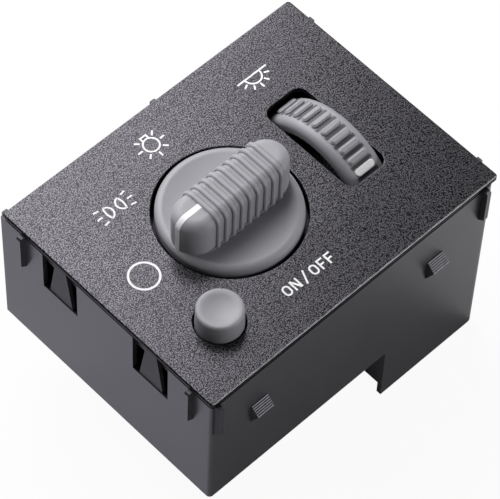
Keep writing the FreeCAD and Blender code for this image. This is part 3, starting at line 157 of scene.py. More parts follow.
# Leather grain of the face plate: worms with pebbles taken off them
WORM_SIZE = 0.3 * MM
PEBBLE_SIZE = 0.38 * MM
PEBBLE_SOFTNESS = 0.4
PEBBLE_SHARE = 0.45
GRAIN_VALLEY = 0.19
GRAIN_CREST = 0.41
GRAIN_DEPTH = 0.01 * MM
GRAIN_ROUGHNESS = (0.22, 0.44)
GRAIN_IN_COLOUR = 0.5
# The grain's darkest colour, in its valleys and also painted on the plate's sides as shade
GRAIN_DARK_AND_SIDE_SHADE = (0.002, 0.0019, 0.0021)
GRAIN_LIGHT = (0.046, 0.0446, 0.049)
# The grey of the painted highlight along the plate's front edge
EDGE_HIGHLIGHT_GREY = (0.36, 0.353, 0.38)
VALLEY_GLOSS = 0.3
CREST_SHINE = 0.15
SIDE_LINE_GLOSS = 0.5
GRAIN_GLOSS_TINT = (0.93, 0.885, 1.0, 1)
PRINTED_SIDE_NORMAL_Z = (0.4, 0.6)

# Painted highlight line along the face plate's front edge, as a place along Y, and the line round its sides
EDGE_LINE_START = -38.1 * MM
EDGE_LINE_END = -37.7 * MM
SIDE_LINE_Z = -0.95 * MM
SIDE_LINE_HALF_WIDTH = 0.35 * MM

# Smooth moulded plastic
MOULDED_CLOUDS = 14 * MM
MOULDED_FLOW = 5 * MM
MOULDED_FLOW_STRETCH = (1.0, 1.0, 0.18)
MOULDED_TEXTURE = 0.16 * MM
MOULDED_DEPTH = 0.004 * MM
MOULDED_GLOSS_TINT = (0.9, 0.885, 1.0, 1)
HOUSING_DARK = (0.012, 0.0118, 0.0133)
HOUSING_LIGHT = (0.048, 0.0475, 0.054)
HOUSING_ROUGHNESS = (0.3, 0.85)
MARKS_IN_ROUGHNESS = 0.12

# Duller places on the housing, darkened with painted shade: its latch tongues and the flank of its corner rib
TONGUE_MIDDLE_Y = 0.75 * MM
TONGUE_OFFSET_Y = 16.6 * MM
TONGUE_HALF_WIDTH = 6.3 * MM
TONGUE_FOOT_Z = -16.7 * MM
TONGUE_DULLNESS_AND_SHADE = 0.45
CORNER_RIB_MIDDLE_X = -48.3 * MM
CORNER_RIB_HALF_WIDTH = 0.9 * MM
CORNER_RIB_ROOT_Y = -36.9 * MM
CORNER_RIB_FOOT_Z = -15.2 * MM
CORNER_RIB_DULLNESS_AND_SHADE = 0.7
PAINTED_SHADE_IN_COLOUR = 0.8

# Satin grey of the three controls
SATIN_GREY = (0.314, 0.309, 0.337)
SATIN_CLOUDS = 9 * MM
SATIN_ROUGHNESS = (0.46, 0.54)
SATIN_TEXTURE = 0.22 * MM
SATIN_DEPTH = 0.006 * MM
SATIN_STRENGTH = 0.6

# Ribbed part of the knob's grip, along X, with painted shade in the crease beside each ridge and a painted
# highlight on each flank; creases, flanks and lines in shares of the ridges' pitch
GRIP_MIDDLE_X = -6.8 * MM
GRIP_HALF_LENGTH = 12.1 * MM
GRIP_HALF_WIDTH = 6.8 * MM
GRIP_PITCH = 2.7 * MM
GRIP_CREASE = 0.31
GRIP_FLANK = -0.2
GRIP_LINE = 0.1
GRIP_COUNT_START = 100.5
GRIP_SPECKS = 0.2 * MM
# How dark the painted crease shade and the specks are, and how light the painted flank highlight is
CREASE_SHADE = 0.75
SPECK_DARKNESS = 0.3
FLANK_HIGHLIGHT = 0.35
GRIP_DARK = (0.132, 0.13, 0.141)
GRIP_LIGHT = (0.414, 0.409, 0.444)
GRIP_SHADE = (-0.9, 0.5)

# Ribbed part of the thumbwheel, round its axis, with painted shade between its ribs; angles in degrees
WHEEL_MIDDLE = (26.8 * MM, -0.6 * MM, -17.3 * MM)
WHEEL_INDEX_ANGLE = -37.0
WHEEL_PITCH = 9.17
WHEEL_GROOVE = 2.75
WHEEL_GROOVE_FADE = 0.9
WHEEL_GROOVE_HALF_LENGTH = 3.3 * MM
WHEEL_GROOVE_END = 0.4 * MM
# The colour of the painted shade in the grooves between the ribs
WHEEL_GROOVE_SHADE = (0.056, 0.0555, 0.061)

# Upright edges of the housing's left end; they stop just short of its back
HOUSING_LEFT = -49.7 * MM
HOUSING_SIDE = 37.95 * MM
HOUSING_ROUNDING = 2.5 * MM
HOUSING_TOP = -2.6 * MM
HOUSING_BACK = -46.45 * MM
FRONT_EDGE_RADIUS = 1.2 * MM
REAR_FLANGE_THICKNESS = 1.5 * MM
REAR_FLANGE_REACH = 1.4 * MM

# Teeth on the slopes of the four snap wedges
WEDGE_PLACES = (-33.35 * MM, 28.95 * MM)
WEDGE_WIDTH = 5.5 * MM
WEDGE_TOP = -16.0 * MM
WEDGE_REACH = 2.6 * MM
WEDGE_DROP = 2.7 * MM
WEDGE_TEETH = 6
TOOTH_SHARE = 0.42
TOOTH_THICKNESS = 0.15 * MM

# Smooth copies of the moulded pieces
MERGE_DISTANCE = 0.001 * MM
CREASE_ANGLE = 28.0


# Materials

def new_finish(name, colour, roughness, metallic=0.0, specular=0.5):
    """A plain shader with its constants on its own sockets; the callers add what varies."""
    material = bpy.data.materials.new(name)
    material.use_nodes = True
    shader = shader_of(material)
    shader.inputs["Base Color"].default_value = (*colour, 1)
    shader.inputs["Roughness"].default_value = roughness
    shader.inputs["Metallic"].default_value = metallic
    shader.inputs["Specular IOR Level"].default_value = specular
    return material


def shader_of(material):
    return material.node_tree.nodes["Principled BSDF"]


def add_node(material, kind, **values):
    node = material.node_tree.nodes.new(kind)
    for key, value in values.items():
        setattr(node, key, value)
    return node


def wire(material, source, target):
    material.node_tree.links.new(source, target)


def split(material, vector):
    """The X, Y and Z of a vector, as a node's outputs."""
    node = add_node(material, "ShaderNodeSeparateXYZ")
    wire(material, vector, node.inputs["Vector"])
    return node.outputs


def place_on_piece(material, scale=(1, 1, 1)):
    """Object coordinates, stretched by scale."""
    coordinates = add_node(material, "ShaderNodeTexCoord")
    mapping = add_node(material, "ShaderNodeMapping")
    mapping.inputs["Scale"].default_value = scale
    wire(material, coordinates.outputs["Object"], mapping.inputs["Vector"])
    return mapping.outputs["Vector"]


def noise(material, size, detail=2.0, roughness=0.5, stretch=(1, 1, 1)):
    """A cloudy pattern whose features are about size across."""
    pattern = add_node(material, "ShaderNodeTexNoise")
    pattern.inputs["Scale"].default_value = 1.0 / size
    pattern.inputs["Detail"].default_value = detail
    pattern.inputs["Roughness"].default_value = roughness
    wire(material, place_on_piece(material, stretch), pattern.inputs["Vector"])
    return pattern.outputs["Fac"]


def pebbled(material, size, softness):
    """Rounded cells about size across, low in their middles."""
    pattern = add_node(material, "ShaderNodeTexVoronoi", feature="SMOOTH_F1")
    pattern.inputs["Scale"].default_value = 1.0 / size
    pattern.inputs["Smoothness"].default_value = softness
    wire(material, place_on_piece(material), pattern.inputs["Vector"])
    return pattern.outputs["Distance"]


def remap(material, value, low, high, new_low, new_high):
    node = add_node(material, "ShaderNodeMapRange")
    node.inputs["From Min"].default_value = low
    node.inputs["From Max"].default_value = high
    node.inputs["To Min"].default_value = new_low
    node.inputs["To Max"].default_value = new_high
    wire(material, value, node.inputs["Value"])
    return node.outputs["Result"]


def combine(material, operation, first, second=0.0):
    node = add_node(material, "ShaderNodeMath", operation=operation)
    for socket, value in zip(node.inputs, (first, second)):
        if isinstance(value, (int, float)):
            socket.default_value = value
        else:
            wire(material, value, socket)
    return node.outputs["Value"]


def plus(material, first, second):
    return combine(material, "ADD", first, second)


def minus(material, first, second):
    return combine(material, "SUBTRACT", first, second)


def times(material, first, second):
    return combine(material, "MULTIPLY", first, second)


def under(material, value, limit):
    return combine(material, "LESS_THAN", value, limit)


def over(material, value, limit):
    return combine(material, "GREATER_THAN", value, limit)


def away(material, value, middle=0.0):
    """How far value is from middle, either way."""
    return combine(material, "ABSOLUTE", minus(material, value, middle))


def line_at(material, value, middle, half_width):
    """One where value meets middle, fading to nothing half_width away."""
    return remap(material, away(material, value, middle), 0, half_width, 1, 0)


def vary_colour(material, factor, dark, light):
    ramp = add_node(material, "ShaderNodeValToRGB")
    ramp.color_ramp.elements[0].color = (*dark, 1)
    ramp.color_ramp.elements[1].color = (*light, 1)
    wire(material, factor, ramp.inputs["Fac"])
    wire(material, ramp.outputs["Color"], shader_of(material).inputs["Base Color"])
    return ramp


def vary_roughness(material, factor, low, high):
    wire(material, remap(material, factor, 0, 1, low, high), shader_of(material).inputs["Roughness"])


def raise_surface(material, height, depth, strength=1.0):
    """Bump whose full height is depth."""
    bump = add_node(material, "ShaderNodeBump")
    bump.inputs["Distance"].default_value = depth
    bump.inputs["Strength"].default_value = strength
    wire(material, height, bump.inputs["Height"])
    wire(material, bump.outputs["Normal"], shader_of(material).inputs["Normal"])


def leather_grained_black():
    """The face plate: charcoal whose fine leather grain shines on its crests, with a painted highlight along its
    front edge and painted shade on its sides.
    """
    material = new_finish("leather_grained_black", (0.036, 0.036, 0.039), 0.3)
    worms = noise(material, WORM_SIZE, 1.0, 0.4)
    pebbles = pebbled(material, PEBBLE_SIZE, PEBBLE_SOFTNESS)
    grain = minus(material, worms, times(material, pebbles, PEBBLE_SHARE))
    facing = split(material, add_node(material, "ShaderNodeNewGeometry").outputs["Normal"])
    printed_side = remap(material, facing["Z"], *PRINTED_SIDE_NORMAL_Z, 0, 1)
    side = minus(material, 1.0, printed_side)
    # On the plate's sides the level is nothing, so they take the darkest colour: painted shade there
    level = times(material, remap(material, grain, GRAIN_VALLEY, GRAIN_CREST, 0, 1), printed_side)
    place = split(material, place_on_piece(material))
    # Painted highlight: a light line in the colour along the plate's front edge
    painted_edge_highlight = times(material, printed_side,
                        remap(material, place["Y"], EDGE_LINE_START, EDGE_LINE_END, 1, 0))
    shade = plus(material, times(material, level, GRAIN_IN_COLOUR), painted_edge_highlight)
    ramp = vary_colour(material, shade, GRAIN_DARK_AND_SIDE_SHADE, EDGE_HIGHLIGHT_GREY)
    ramp.color_ramp.elements.new(GRAIN_IN_COLOUR).color = (*GRAIN_LIGHT, 1)
    vary_roughness(material, minus(material, side, times(material, level, CREST_SHINE)), *GRAIN_ROUGHNESS)
    side_line = times(material, side, line_at(material, place["Z"], SIDE_LINE_Z, SIDE_LINE_HALF_WIDTH))
    gloss = times(material, remap(material, level, 0, 1, VALLEY_GLOSS, 1.0), printed_side)
    wire(material, plus(material, gloss, times(material, side_line, SIDE_LINE_GLOSS)),
         shader_of(material).inputs["Specular IOR Level"])
    shader_of(material).inputs["Specular Tint"].default_value = GRAIN_GLOSS_TINT
    raise_surface(material, level, GRAIN_DEPTH)
    return material


def moulding_marks(material):
    """The faint clouding and flow marks of injection-moulded plastic."""
    clouds = noise(material, MOULDED_CLOUDS, 3.0)
    flow = noise(material, MOULDED_FLOW, 2.0, 0.6, MOULDED_FLOW_STRETCH)
    return times(material, plus(material, clouds, flow), 0.5)


def mould_texture(material):
    """The cool cast of moulded plastic's gloss, and its very fine texture."""
    shader_of(material).inputs["Specular Tint"].default_value = MOULDED_GLOSS_TINT
    raise_surface(material, noise(material, MOULDED_TEXTURE), MOULDED_DEPTH, 0.5)


def moulded_black(name, colour, roughness):
    """Smooth injection-moulded plastic of the given colour."""
    material = new_finish(name, colour, roughness)
    marks = moulding_marks(material)
    dark = tuple(0.85 * part for part in colour)
    light = tuple(1.15 * part for part in colour)
    vary_colour(material, marks, dark, light)
    vary_roughness(material, marks, roughness - 0.06, roughness + 0.06)
    mould_texture(material)
    return material


def glossy_highlighted_teeth():
    """The snap wedges' teeth: glossier than the housing, and painted lighter as a highlight."""
    # Painted highlight: a colour about twice as light as the housing's black
    material = moulded_black("glossy_highlighted_teeth", (0.09, 0.088, 0.096), 0.28)
    shader_of(material).inputs["Specular IOR Level"].default_value = 0.8
    return material


def housing_black():
    """The housing's smooth black, duller and darkened with painted shade on its latch tongues and on its corner
    rib.
    """
    material = new_finish("housing_black", (0.042, 0.0415, 0.047), 0.36)
    marks = moulding_marks(material)
    place = split(material, place_on_piece(material))
    from_middle = away(material, place["Y"], TONGUE_MIDDLE_Y)
    tongue = times(material, under(material, away(material, from_middle, TONGUE_OFFSET_Y), TONGUE_HALF_WIDTH),
                   over(material, place["Z"], TONGUE_FOOT_Z))
    from_rib = away(material, place["X"], CORNER_RIB_MIDDLE_X)
    rib = times(material, under(material, from_rib, CORNER_RIB_HALF_WIDTH),
                under(material, place["Y"], CORNER_RIB_ROOT_Y))
    rib = times(material, rib, over(material, place["Z"], CORNER_RIB_FOOT_Z))
    # Painted shade: the tongues and the corner rib's flank are darker in colour as well as duller
    dullness_and_painted_shade = plus(material, times(material, tongue, TONGUE_DULLNESS_AND_SHADE), times(material, rib, CORNER_RIB_DULLNESS_AND_SHADE))
    shade = minus(material, marks, times(material, dullness_and_painted_shade, PAINTED_SHADE_IN_COLOUR))
    vary_colour(material, remap(material, shade, -PAINTED_SHADE_IN_COLOUR, 1, 0, 1), HOUSING_DARK, HOUSING_LIGHT)
    vary_roughness(material, plus(material, times(material, marks, MARKS_IN_ROUGHNESS), dullness_and_painted_shade),
                   *HOUSING_ROUGHNESS)
    mould_texture(material)
    return material


def satin_grey(name):
    """The controls' grey, still without its colour and texture, and the clouds that vary it."""
    material = new_finish(name, SATIN_GREY, 0.5)
    clouds = noise(material, SATIN_CLOUDS)
    vary_roughness(material, clouds, *SATIN_ROUGHNESS)
    return material, clouds


def control_grey(name):
    """The controls' satin grey with faint clouds, as on the button."""
    material, clouds = satin_grey(name)
    vary_colour(material, clouds, (0.303, 0.298, 0.324), (0.326, 0.321, 0.349))
    raise_surface(material, noise(material, SATIN_TEXTURE), SATIN_DEPTH, SATIN_STRENGTH)
    return material


def ribbed_wheel_grey():
    """The wheel's grey, with painted shade in the grooves between its ribs."""
    material, clouds = satin_grey("ribbed_wheel_grey")
    place = split(material, place_on_piece(material))
    middle_x, middle_y, middle_z = WHEEL_MIDDLE
    across = minus(material, place["Y"], middle_y)
    up = minus(material, place["Z"], middle_z)
    from_index = minus(material, combine(material, "ARCTAN2", across, up), math.radians(WHEEL_INDEX_ANGLE))
    from_rib = combine(material, "PINGPONG", from_index, math.radians(WHEEL_PITCH / 2))
    between_ribs = remap(material, from_rib, math.radians(WHEEL_GROOVE),
                         math.radians(WHEEL_GROOVE + WHEEL_GROOVE_FADE), 0, 1)
    in_length = remap(material, away(material, place["X"], middle_x), WHEEL_GROOVE_HALF_LENGTH,
                      WHEEL_GROOVE_HALF_LENGTH + WHEEL_GROOVE_END, 1, 0)
    # Painted shade: the grooves between the ribs are darkened in colour
    groove_shade = times(material, between_ribs, in_length)
    shade = minus(material, times(material, clouds, 0.1), groove_shade)
    vary_colour(material, remap(material, shade, -1, 0.1, 0, 1), WHEEL_GROOVE_SHADE, SATIN_GREY)
    raise_surface(material, noise(material, SATIN_TEXTURE), SATIN_DEPTH, SATIN_STRENGTH)
    return material


def ribbed_grip_grey():
    """The knob's grey, with painted shade in a crease beside each ridge of the grip, a painted highlight on each
    ridge's flank, and spark-eroded bands between.
    """
    material, clouds = satin_grey("ribbed_grip_grey")
    place = split(material, place_on_piece(material))
    along = minus(material, place["X"], GRIP_MIDDLE_X)
    ridges = plus(material, combine(material, "DIVIDE", along, GRIP_PITCH), GRIP_COUNT_START)
    from_ridge = minus(material, combine(material, "FRACT", ridges), 0.5)
    on_grip = times(material, under(material, away(material, along), GRIP_HALF_LENGTH),
                    under(material, away(material, place["Y"]), GRIP_HALF_WIDTH))
    # Painted shade in the crease beside each ridge
    crease_shade = line_at(material, from_ridge, GRIP_CREASE, GRIP_LINE)
    # Painted highlight on each ridge's flank
    flank_highlight = line_at(material, from_ridge, GRIP_FLANK, GRIP_LINE)
    band = over(material, away(material, from_ridge), GRIP_CREASE)
    specks = remap(material, noise(material, GRIP_SPECKS), 0.3, 0.7, 0, 1)
    speckled = times(material, band, minus(material, 1.0, specks))
    marks = plus(material, times(material, crease_shade, CREASE_SHADE), times(material, speckled, SPECK_DARKNESS))
    marks = minus(material, marks, times(material, flank_highlight, FLANK_HIGHLIGHT))
    shade = minus(material, times(material, clouds, 0.2), times(material, marks, on_grip))
    vary_colour(material, remap(material, shade, *GRIP_SHADE, 0, 1), GRIP_DARK, GRIP_LIGHT)
    raise_surface(material, specks, SATIN_DEPTH, SATIN_STRENGTH)
    return material


def white_mark(name, size):
    """Satin white with specks about size across."""
    material = new_finish(name, (0.8, 0.8, 0.8), 0.5)
    specks = noise(material, size, 3.0)
    vary_colour(material, remap(material, specks, 0.3, 0.7, 0, 1), (0.86, 0.855, 0.88), (0.94, 0.935, 0.95))
    raise_surface(material, specks, 0.006 * MM, 0.6)
    return material


def frosted_diffuser():
    """The clear sheet behind the face, frosted on its back."""
    material = new_finish("frosted_diffuser", (0.75, 0.78, 0.8), 0.3)
    shader_of(material).inputs["Transmission Weight"].default_value = 0.85
    vary_roughness(material, noise(material, 0.4 * MM, 3.0), 0.22, 0.45)
    return material


def plated_metal(name, colour, roughness, stretch):
    """Rolled, drawn or plated metal with fine lines along one way."""
    material = new_finish(name, colour, roughness, 1.0)
    lines = noise(material, 0.6 * MM, 4.0, 0.6, stretch)
    dark = tuple(0.85 * part for part in colour)
    light = tuple(min(1, 1.1 * part) for part in colour)
    vary_colour(material, lines, dark, light)
    vary_roughness(material, lines, roughness - 0.1, roughness + 0.12)
    raise_surface(material, lines, 0.004 * MM, 0.5)
    return material


def solder_mask_green():
    """The circuit board's lacquer over its glass weave."""
    material = new_finish("solder_mask_green", (0.05, 0.22, 0.1), 0.35)
    weave = noise(material, 1.2 * MM)
    vary_colour(material, weave, (0.04, 0.19, 0.085), (0.06, 0.25, 0.12))
    vary_roughness(material, weave, 0.3, 0.42)
    raise_surface(material, weave, 0.01 * MM, 0.5)
    return material


def natural_acetal():
    """The cream of the rotor and the plunger."""
    material = new_finish("natural_acetal", (0.7, 0.66, 0.55), 0.42)
    clouds = noise(material, 3 * MM, 3.0)
    vary_colour(material, clouds, (0.66, 0.62, 0.5), (0.74, 0.7, 0.6))
    vary_roughness(material, clouds, 0.36, 0.48)
    return material


def bulb_glass():
    """Clear glass with a slight waviness."""
    material = new_finish("bulb_glass", (0.92, 0.94, 0.93), 0.04)
    shader_of(material).inputs["Transmission Weight"].default_value = 1.0
    raise_surface(material, noise(material, 2.0 * MM, 1.0), 0.02 * MM, 0.3)
    return material


# The finish of each material slot in the record, and two finishes for pieces made here
finishes = {
    "face_black": leather_grained_black(),
    "housing_black": housing_black(),
    "carrier_black": moulded_black("carrier_black", (0.03, 0.03, 0.032), 0.42),
    "knob_grey": control_grey("control_grey"),
    "mark_white": white_mark("mark_white", 0.5 * MM),
    "clear_plastic": frosted_diffuser(),
    "screw_steel": plated_metal("zinc_plated_steel", (0.62, 0.62, 0.63), 0.34, (1, 1, 6)),
    "spring_steel": plated_metal("drawn_spring_steel", (0.5, 0.5, 0.52), 0.3, (4, 4, 1)),
    "contact_brass": plated_metal("stamped_brass", (0.72, 0.53, 0.25), 0.32, (1, 5, 1)),
    "board_green": solder_mask_green(),
    "switch_box": moulded_black("switch_box", (0.09, 0.09, 0.1), 0.45),
    "rotor_cream": natural_acetal(),
    "socket_grey": moulded_black("socket_grey", (0.2, 0.2, 0.21), 0.45),
    "bulb_glass": bulb_glass(),
}
bright_teeth = glossy_highlighted_teeth()
printed_white = white_mark("printed_white", 0.8 * MM)


def slot_of(node):
    """The material slot that the record gives a node."""
    for entry in frame["record"]["subparts"]:
        if entry["node"] == node:
            return entry["material_slot"]
    raise KeyError(node)


def paint_nodes():
    """Give every solid the finish of its slot."""
    for node, piece in frame["nodes"].items():
        piece.data.materials.clear()
        piece.data.materials.append(finishes[slot_of(node)])


# Pieces

def mesh_of(shape, name):
    mesh = bpy.data.meshes.new(name)
    shape.to_mesh(mesh)
    shape.free()
    return mesh


def new_piece(name, mesh, material, body):
    mesh.materials.clear()
    mesh.materials.append(material)
    piece = bpy.data.objects.new(name, mesh)
    bpy.context.scene.collection.objects.link(piece)
    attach(piece, body)
    return piece


def smooth_copy(node, name, body, material=None):
    """A copy of a moulded solid whose curved faces shade smoothly, with its true edges kept sharp."""
    slot = slot_of(node)
    shape = bmesh.new()
    shape.from_mesh(frame["nodes"][node].data)
    bmesh.ops.remove_doubles(shape, verts=shape.verts, dist=MERGE_DISTANCE)
    for face in shape.faces:
        face.smooth = True
    mesh = mesh_of(shape, name)
    normals = mesh.attributes.get("custom_normal")
    if normals:
        mesh.attributes.remove(normals)
    mesh.set_sharp_from_angle(angle=math.radians(CREASE_ANGLE))
    piece = new_piece(name, mesh, material or finishes[slot], body)
    weighting = piece.modifiers.new("even_shading", "WEIGHTED_NORMAL")
    weighting.keep_sharp = True
    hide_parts(node)
    return piece


def return_spring():
    """The button's coil spring, as a smooth copy with a mesh of its own."""
    spring = smooth_copy("button_spring", "return_spring", "root")
    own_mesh(spring)


def thicken(shape, faces, offset):
    """Draw flat faces out by offset into closed solids, with every face outwards."""
    made = bmesh.ops.extrude_face_region(shape, geom=faces, use_keep_orig=True)
    moved = [item for item in made["geom"] if isinstance(item, bmesh.types.BMVert)]
    bmesh.ops.translate(shape, verts=moved, vec=offset)
    bmesh.ops.recalc_face_normals(shape, faces=shape.faces)


plate_low, plate_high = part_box("face_plate")


def on_plate(x, y):
    """A point of the printed face, given in millimetres from the plate's left and front edges."""
    return Vector((plate_low.x + x * MM, plate_low.y + y * MM, plate_high.z))


def arc(centre, radius, start, end, steps=ROUND_STEPS):
    """Points of an arc from angle start to angle end in degrees."""
    angles = [math.radians(start + (end - start) * step / steps) for step in range(steps + 1)]
    return [(centre[0] + radius * math.cos(angle), centre[1] + radius * math.sin(angle)) for angle in angles]


def fill(shape, points):
    """A flat stroke with the given outline."""
    face = shape.faces.new([shape.verts.new(on_plate(x, y)) for x, y in points])
    face.normal_update()
    return face


def outline(shape, points, stroke=PRINT_STROKE):
    """A closed line of even width just inside the given outline."""
    face = fill(shape, points)
    bmesh.ops.inset_region(shape, faces=[face], thickness=stroke * MM, use_even_offset=True, use_boundary=True)
    bmesh.ops.delete(shape, geom=[face], context="FACES_ONLY")


def bar(shape, start, end):
    """A straight stroke with square ends."""
    along = Vector((end[0] - start[0], end[1] - start[1])).normalized() * (PRINT_STROKE / 2)
    fill(shape, [(start[0] + along.y, start[1] - along.x), (end[0] + along.y, end[1] - along.x),
                 (end[0] - along.y, end[1] + along.x), (start[0] - along.y, start[1] + along.x)])


def rays(shape, centre, inner, outer, angles):
    for angle in angles:
        turn = math.radians(angle)
        bar(shape, (centre[0] + inner * math.cos(turn), centre[1] + inner * math.sin(turn)),
            (centre[0] + outer * math.cos(turn), centre[1] + outer * math.sin(turn)))


def finish_print(shape, name):
    """Give the flat strokes their thin layer of paint and lay them on the plate."""
    thicken(shape, shape.faces[:], (0, 0, PRINT_THICKNESS))
    return new_piece(name, mesh_of(shape, name), printed_white, "root")


def off_symbol():
    shape = bmesh.new()
    outline(shape, arc(OFF_CENTRE, OFF_RADIUS, 0, 360)[:-1], OFF_STROKE)
    return finish_print(shape, "off_symbol")


def headlamp_symbol():
    """A bulb with its base towards the plate's rear, and seven rays."""
    shape = bmesh.new()
    cx, cy = HEAD_CENTRE
    outline(shape, arc(HEAD_CENTRE, HEAD_RADIUS, 0, 360)[:-1])
    outer = HEAD_BASE_HALF_WIDTH
    inner = outer - PRINT_STROKE
    outer_foot = cy + math.sqrt(HEAD_RADIUS ** 2 - outer ** 2)
    inner_foot = cy + math.sqrt(HEAD_RADIUS ** 2 - inner ** 2)
    top = cy + HEAD_BASE_TOP
    fill(shape, [(cx - outer, outer_foot), (cx - inner, inner_foot), (cx - inner, top - PRINT_STROKE),
                 (cx + inner, top - PRINT_STROKE), (cx + inner, inner_foot), (cx + outer, outer_foot),
                 (cx + outer, top), (cx - outer, top)])
    rays(shape, HEAD_CENTRE, HEAD_RAY_INNER, HEAD_RAY_OUTER, HEAD_RAY_ANGLES)
    return finish_print(shape, "headlamp_symbol")


def bulged_side(tip_x, centre_y, half_height, bulge):
    """The arc from the upper to the lower tip of a lens that bulges by the given amount."""
    radius = (half_height ** 2 + bulge ** 2) / (2 * abs(bulge))
    half_angle = math.degrees(math.asin(min(1.0, half_height / radius)))
    if bulge > 0:
        return arc((tip_x + bulge - radius, centre_y), radius, half_angle, -half_angle, ROUND_STEPS // 2)
    return arc((tip_x + bulge + radius, centre_y), radius, 180 - half_angle, 180 + half_angle, ROUND_STEPS // 2)


def parking_symbol():
    """Two lenses back to back, each with three rays."""
    shape = bmesh.new()
    cx, cy = PARK_CENTRE
    for side in (-1, 1):
        tip = cx + side * PARK_LENS_OFFSET
        front = bulged_side(tip, cy, PARK_LENS_HALF_HEIGHT, -side * PARK_LENS_BULGE)
        back = bulged_side(tip, cy, PARK_LENS_HALF_HEIGHT, side * PARK_LENS_BACK)
        outline(shape, front + back[::-1][1:-1])
        for near, near_y, far, far_y in PARK_RAY_OFFSETS:
            bar(shape, (cx + side * near, cy + near_y), (cx + side * far, cy + far_y))
    return finish_print(shape, "parking_symbol")


def dome_symbol():
    """A roof line with a half round under it and five rays."""
    shape = bmesh.new()
    cx, cy = DOME_CENTRE
    half = DOME_BAR_LENGTH / 2
    bar(shape, (cx - half, cy), (cx + half, cy))
    below_bar = (cx, cy - PRINT_STROKE / 2)
    outer_side = arc(below_bar, DOME_RADIUS, 180, 360)
    inner_side = arc(below_bar, DOME_RADIUS - PRINT_STROKE, 180, 360)
    fill(shape, outer_side + inner_side[::-1])
    rays(shape, DOME_CENTRE, DOME_RAY_INNER, DOME_RAY_OUTER, DOME_RAY_ANGLES)
    return finish_print(shape, "dome_symbol")


def letter_o(shape, x, y):
    radius = LETTER_WIDTH / 2
    upper = arc((x + radius, y + LETTER_HEIGHT - radius), radius, 0, 180, ROUND_STEPS // 2)
    lower = arc((x + radius, y + radius), radius, 180, 360, ROUND_STEPS // 2)
    outline(shape, upper + lower)


def letter_n(shape, x, y):
    inner_left = x + PRINT_STROKE
    right = x + LETTER_WIDTH
    inner_right = right - PRINT_STROKE
    top = y + LETTER_HEIGHT
    fill(shape, [(x, y), (inner_left, y), (inner_left, top - N_NOTCH), (right - N_SLANT_FOOT, y), (right, y),
                 (right, top), (inner_right, top), (inner_right, y + N_NOTCH), (x + N_SLANT_FOOT, top), (x, top)])


def letter_f(shape, x, y):
    inner_left = x + PRINT_STROKE
    right = x + F_WIDTH
    arm_end = right - F_ARM_SHORTER
    arm_top = y + F_ARM_TOP
    arm_foot = arm_top - PRINT_STROKE
    top = y + LETTER_HEIGHT
    fill(shape, [(x, y), (inner_left, y), (inner_left, arm_foot), (arm_end, arm_foot), (arm_end, arm_top),
                 (inner_left, arm_top), (inner_left, top - PRINT_STROKE), (right, top - PRINT_STROKE),
                 (right, top), (x, top)])


def slash(shape, x, y):
    bar(shape, (x, y - SLASH_OVERSHOOT), (x + SLASH_WIDTH, y + LETTER_HEIGHT + SLASH_OVERSHOOT))


def switch_label():
    """ON / OFF beside the push button."""
    shape = bmesh.new()
    letters = ((letter_o, LETTER_WIDTH, LETTER_GAP), (letter_n, LETTER_WIDTH, WORD_GAP),
               (slash, SLASH_WIDTH, WORD_GAP), (letter_o, LETTER_WIDTH, LETTER_GAP),
               (letter_f, F_WIDTH, LETTER_GAP), (letter_f, F_WIDTH, 0))
    x = LABEL_LEFT
    for draw, width, gap in letters:
        draw(shape, x, LABEL_BASELINE)
        x += width + gap
    return finish_print(shape, "switch_label")


def upright_edge(name, points):
    """An upright strip of the housing's wall with the given outline in X and Y."""
    shape = bmesh.new()
    foot = shape.faces.new([shape.verts.new((x, y, HOUSING_BACK)) for x, y in points])
    thicken(shape, [foot], (0, 0, HOUSING_TOP - HOUSING_BACK))
    mesh = mesh_of(shape, name)
    mesh.shade_smooth()
    mesh.set_sharp_from_angle(angle=math.radians(CREASE_ANGLE))
    return new_piece(name, mesh, finishes["housing_black"], "root")


def front_left_edge():
    """Fills the housing's near left corner out to the tighter radius that shows."""
    middle = (HOUSING_LEFT + FRONT_EDGE_RADIUS, -HOUSING_SIDE + FRONT_EDGE_RADIUS)
    corner = arc(middle, FRONT_EDGE_RADIUS, 180, 270, ROUND_STEPS // 4)
    return upright_edge("front_left_edge", [(HOUSING_LEFT, -HOUSING_SIDE + HOUSING_ROUNDING), *corner,
                                            (HOUSING_LEFT + HOUSING_ROUNDING, -HOUSING_SIDE)])


def rear_left_flange():
    """Carries the left wall straight back past the corner, under the rear rib."""
    inner = HOUSING_LEFT + REAR_FLANGE_THICKNESS
    tip = HOUSING_SIDE + REAR_FLANGE_REACH
    return upright_edge("rear_left_flange", [
        (HOUSING_LEFT, HOUSING_SIDE - HOUSING_ROUNDING), (HOUSING_LEFT, tip), (inner, tip),
        (inner, HOUSING_SIDE), (HOUSING_LEFT + HOUSING_ROUNDING, HOUSING_SIDE)])


def wedge_teeth(name, x, side):
    """Six moulded ridges across the slope of one snap wedge; side is -1 on the front wall, 1 on the back."""
    shape = bmesh.new()
    top = Vector((x, side * HOUSING_SIDE, WEDGE_TOP))
    down_slope = Vector((0, side * WEDGE_REACH, -WEDGE_DROP)) / WEDGE_TEETH
    inward = Vector((0, -side * WEDGE_DROP, -WEDGE_REACH)).normalized() * TOOTH_THICKNESS
    half = Vector((WEDGE_WIDTH / 2, 0, 0))
    for tooth in range(1, WEDGE_TEETH + 1):
        crest = top + down_slope * tooth
        back = crest - down_slope * TOOTH_SHARE
        ring = (crest, back, back + inward, crest + inward)
        end = shape.faces.new([shape.verts.new(point - half) for point in ring])
        thicken(shape, [end], 2 * half)
    return new_piece(name, mesh_of(shape, name), bright_teeth, "root")


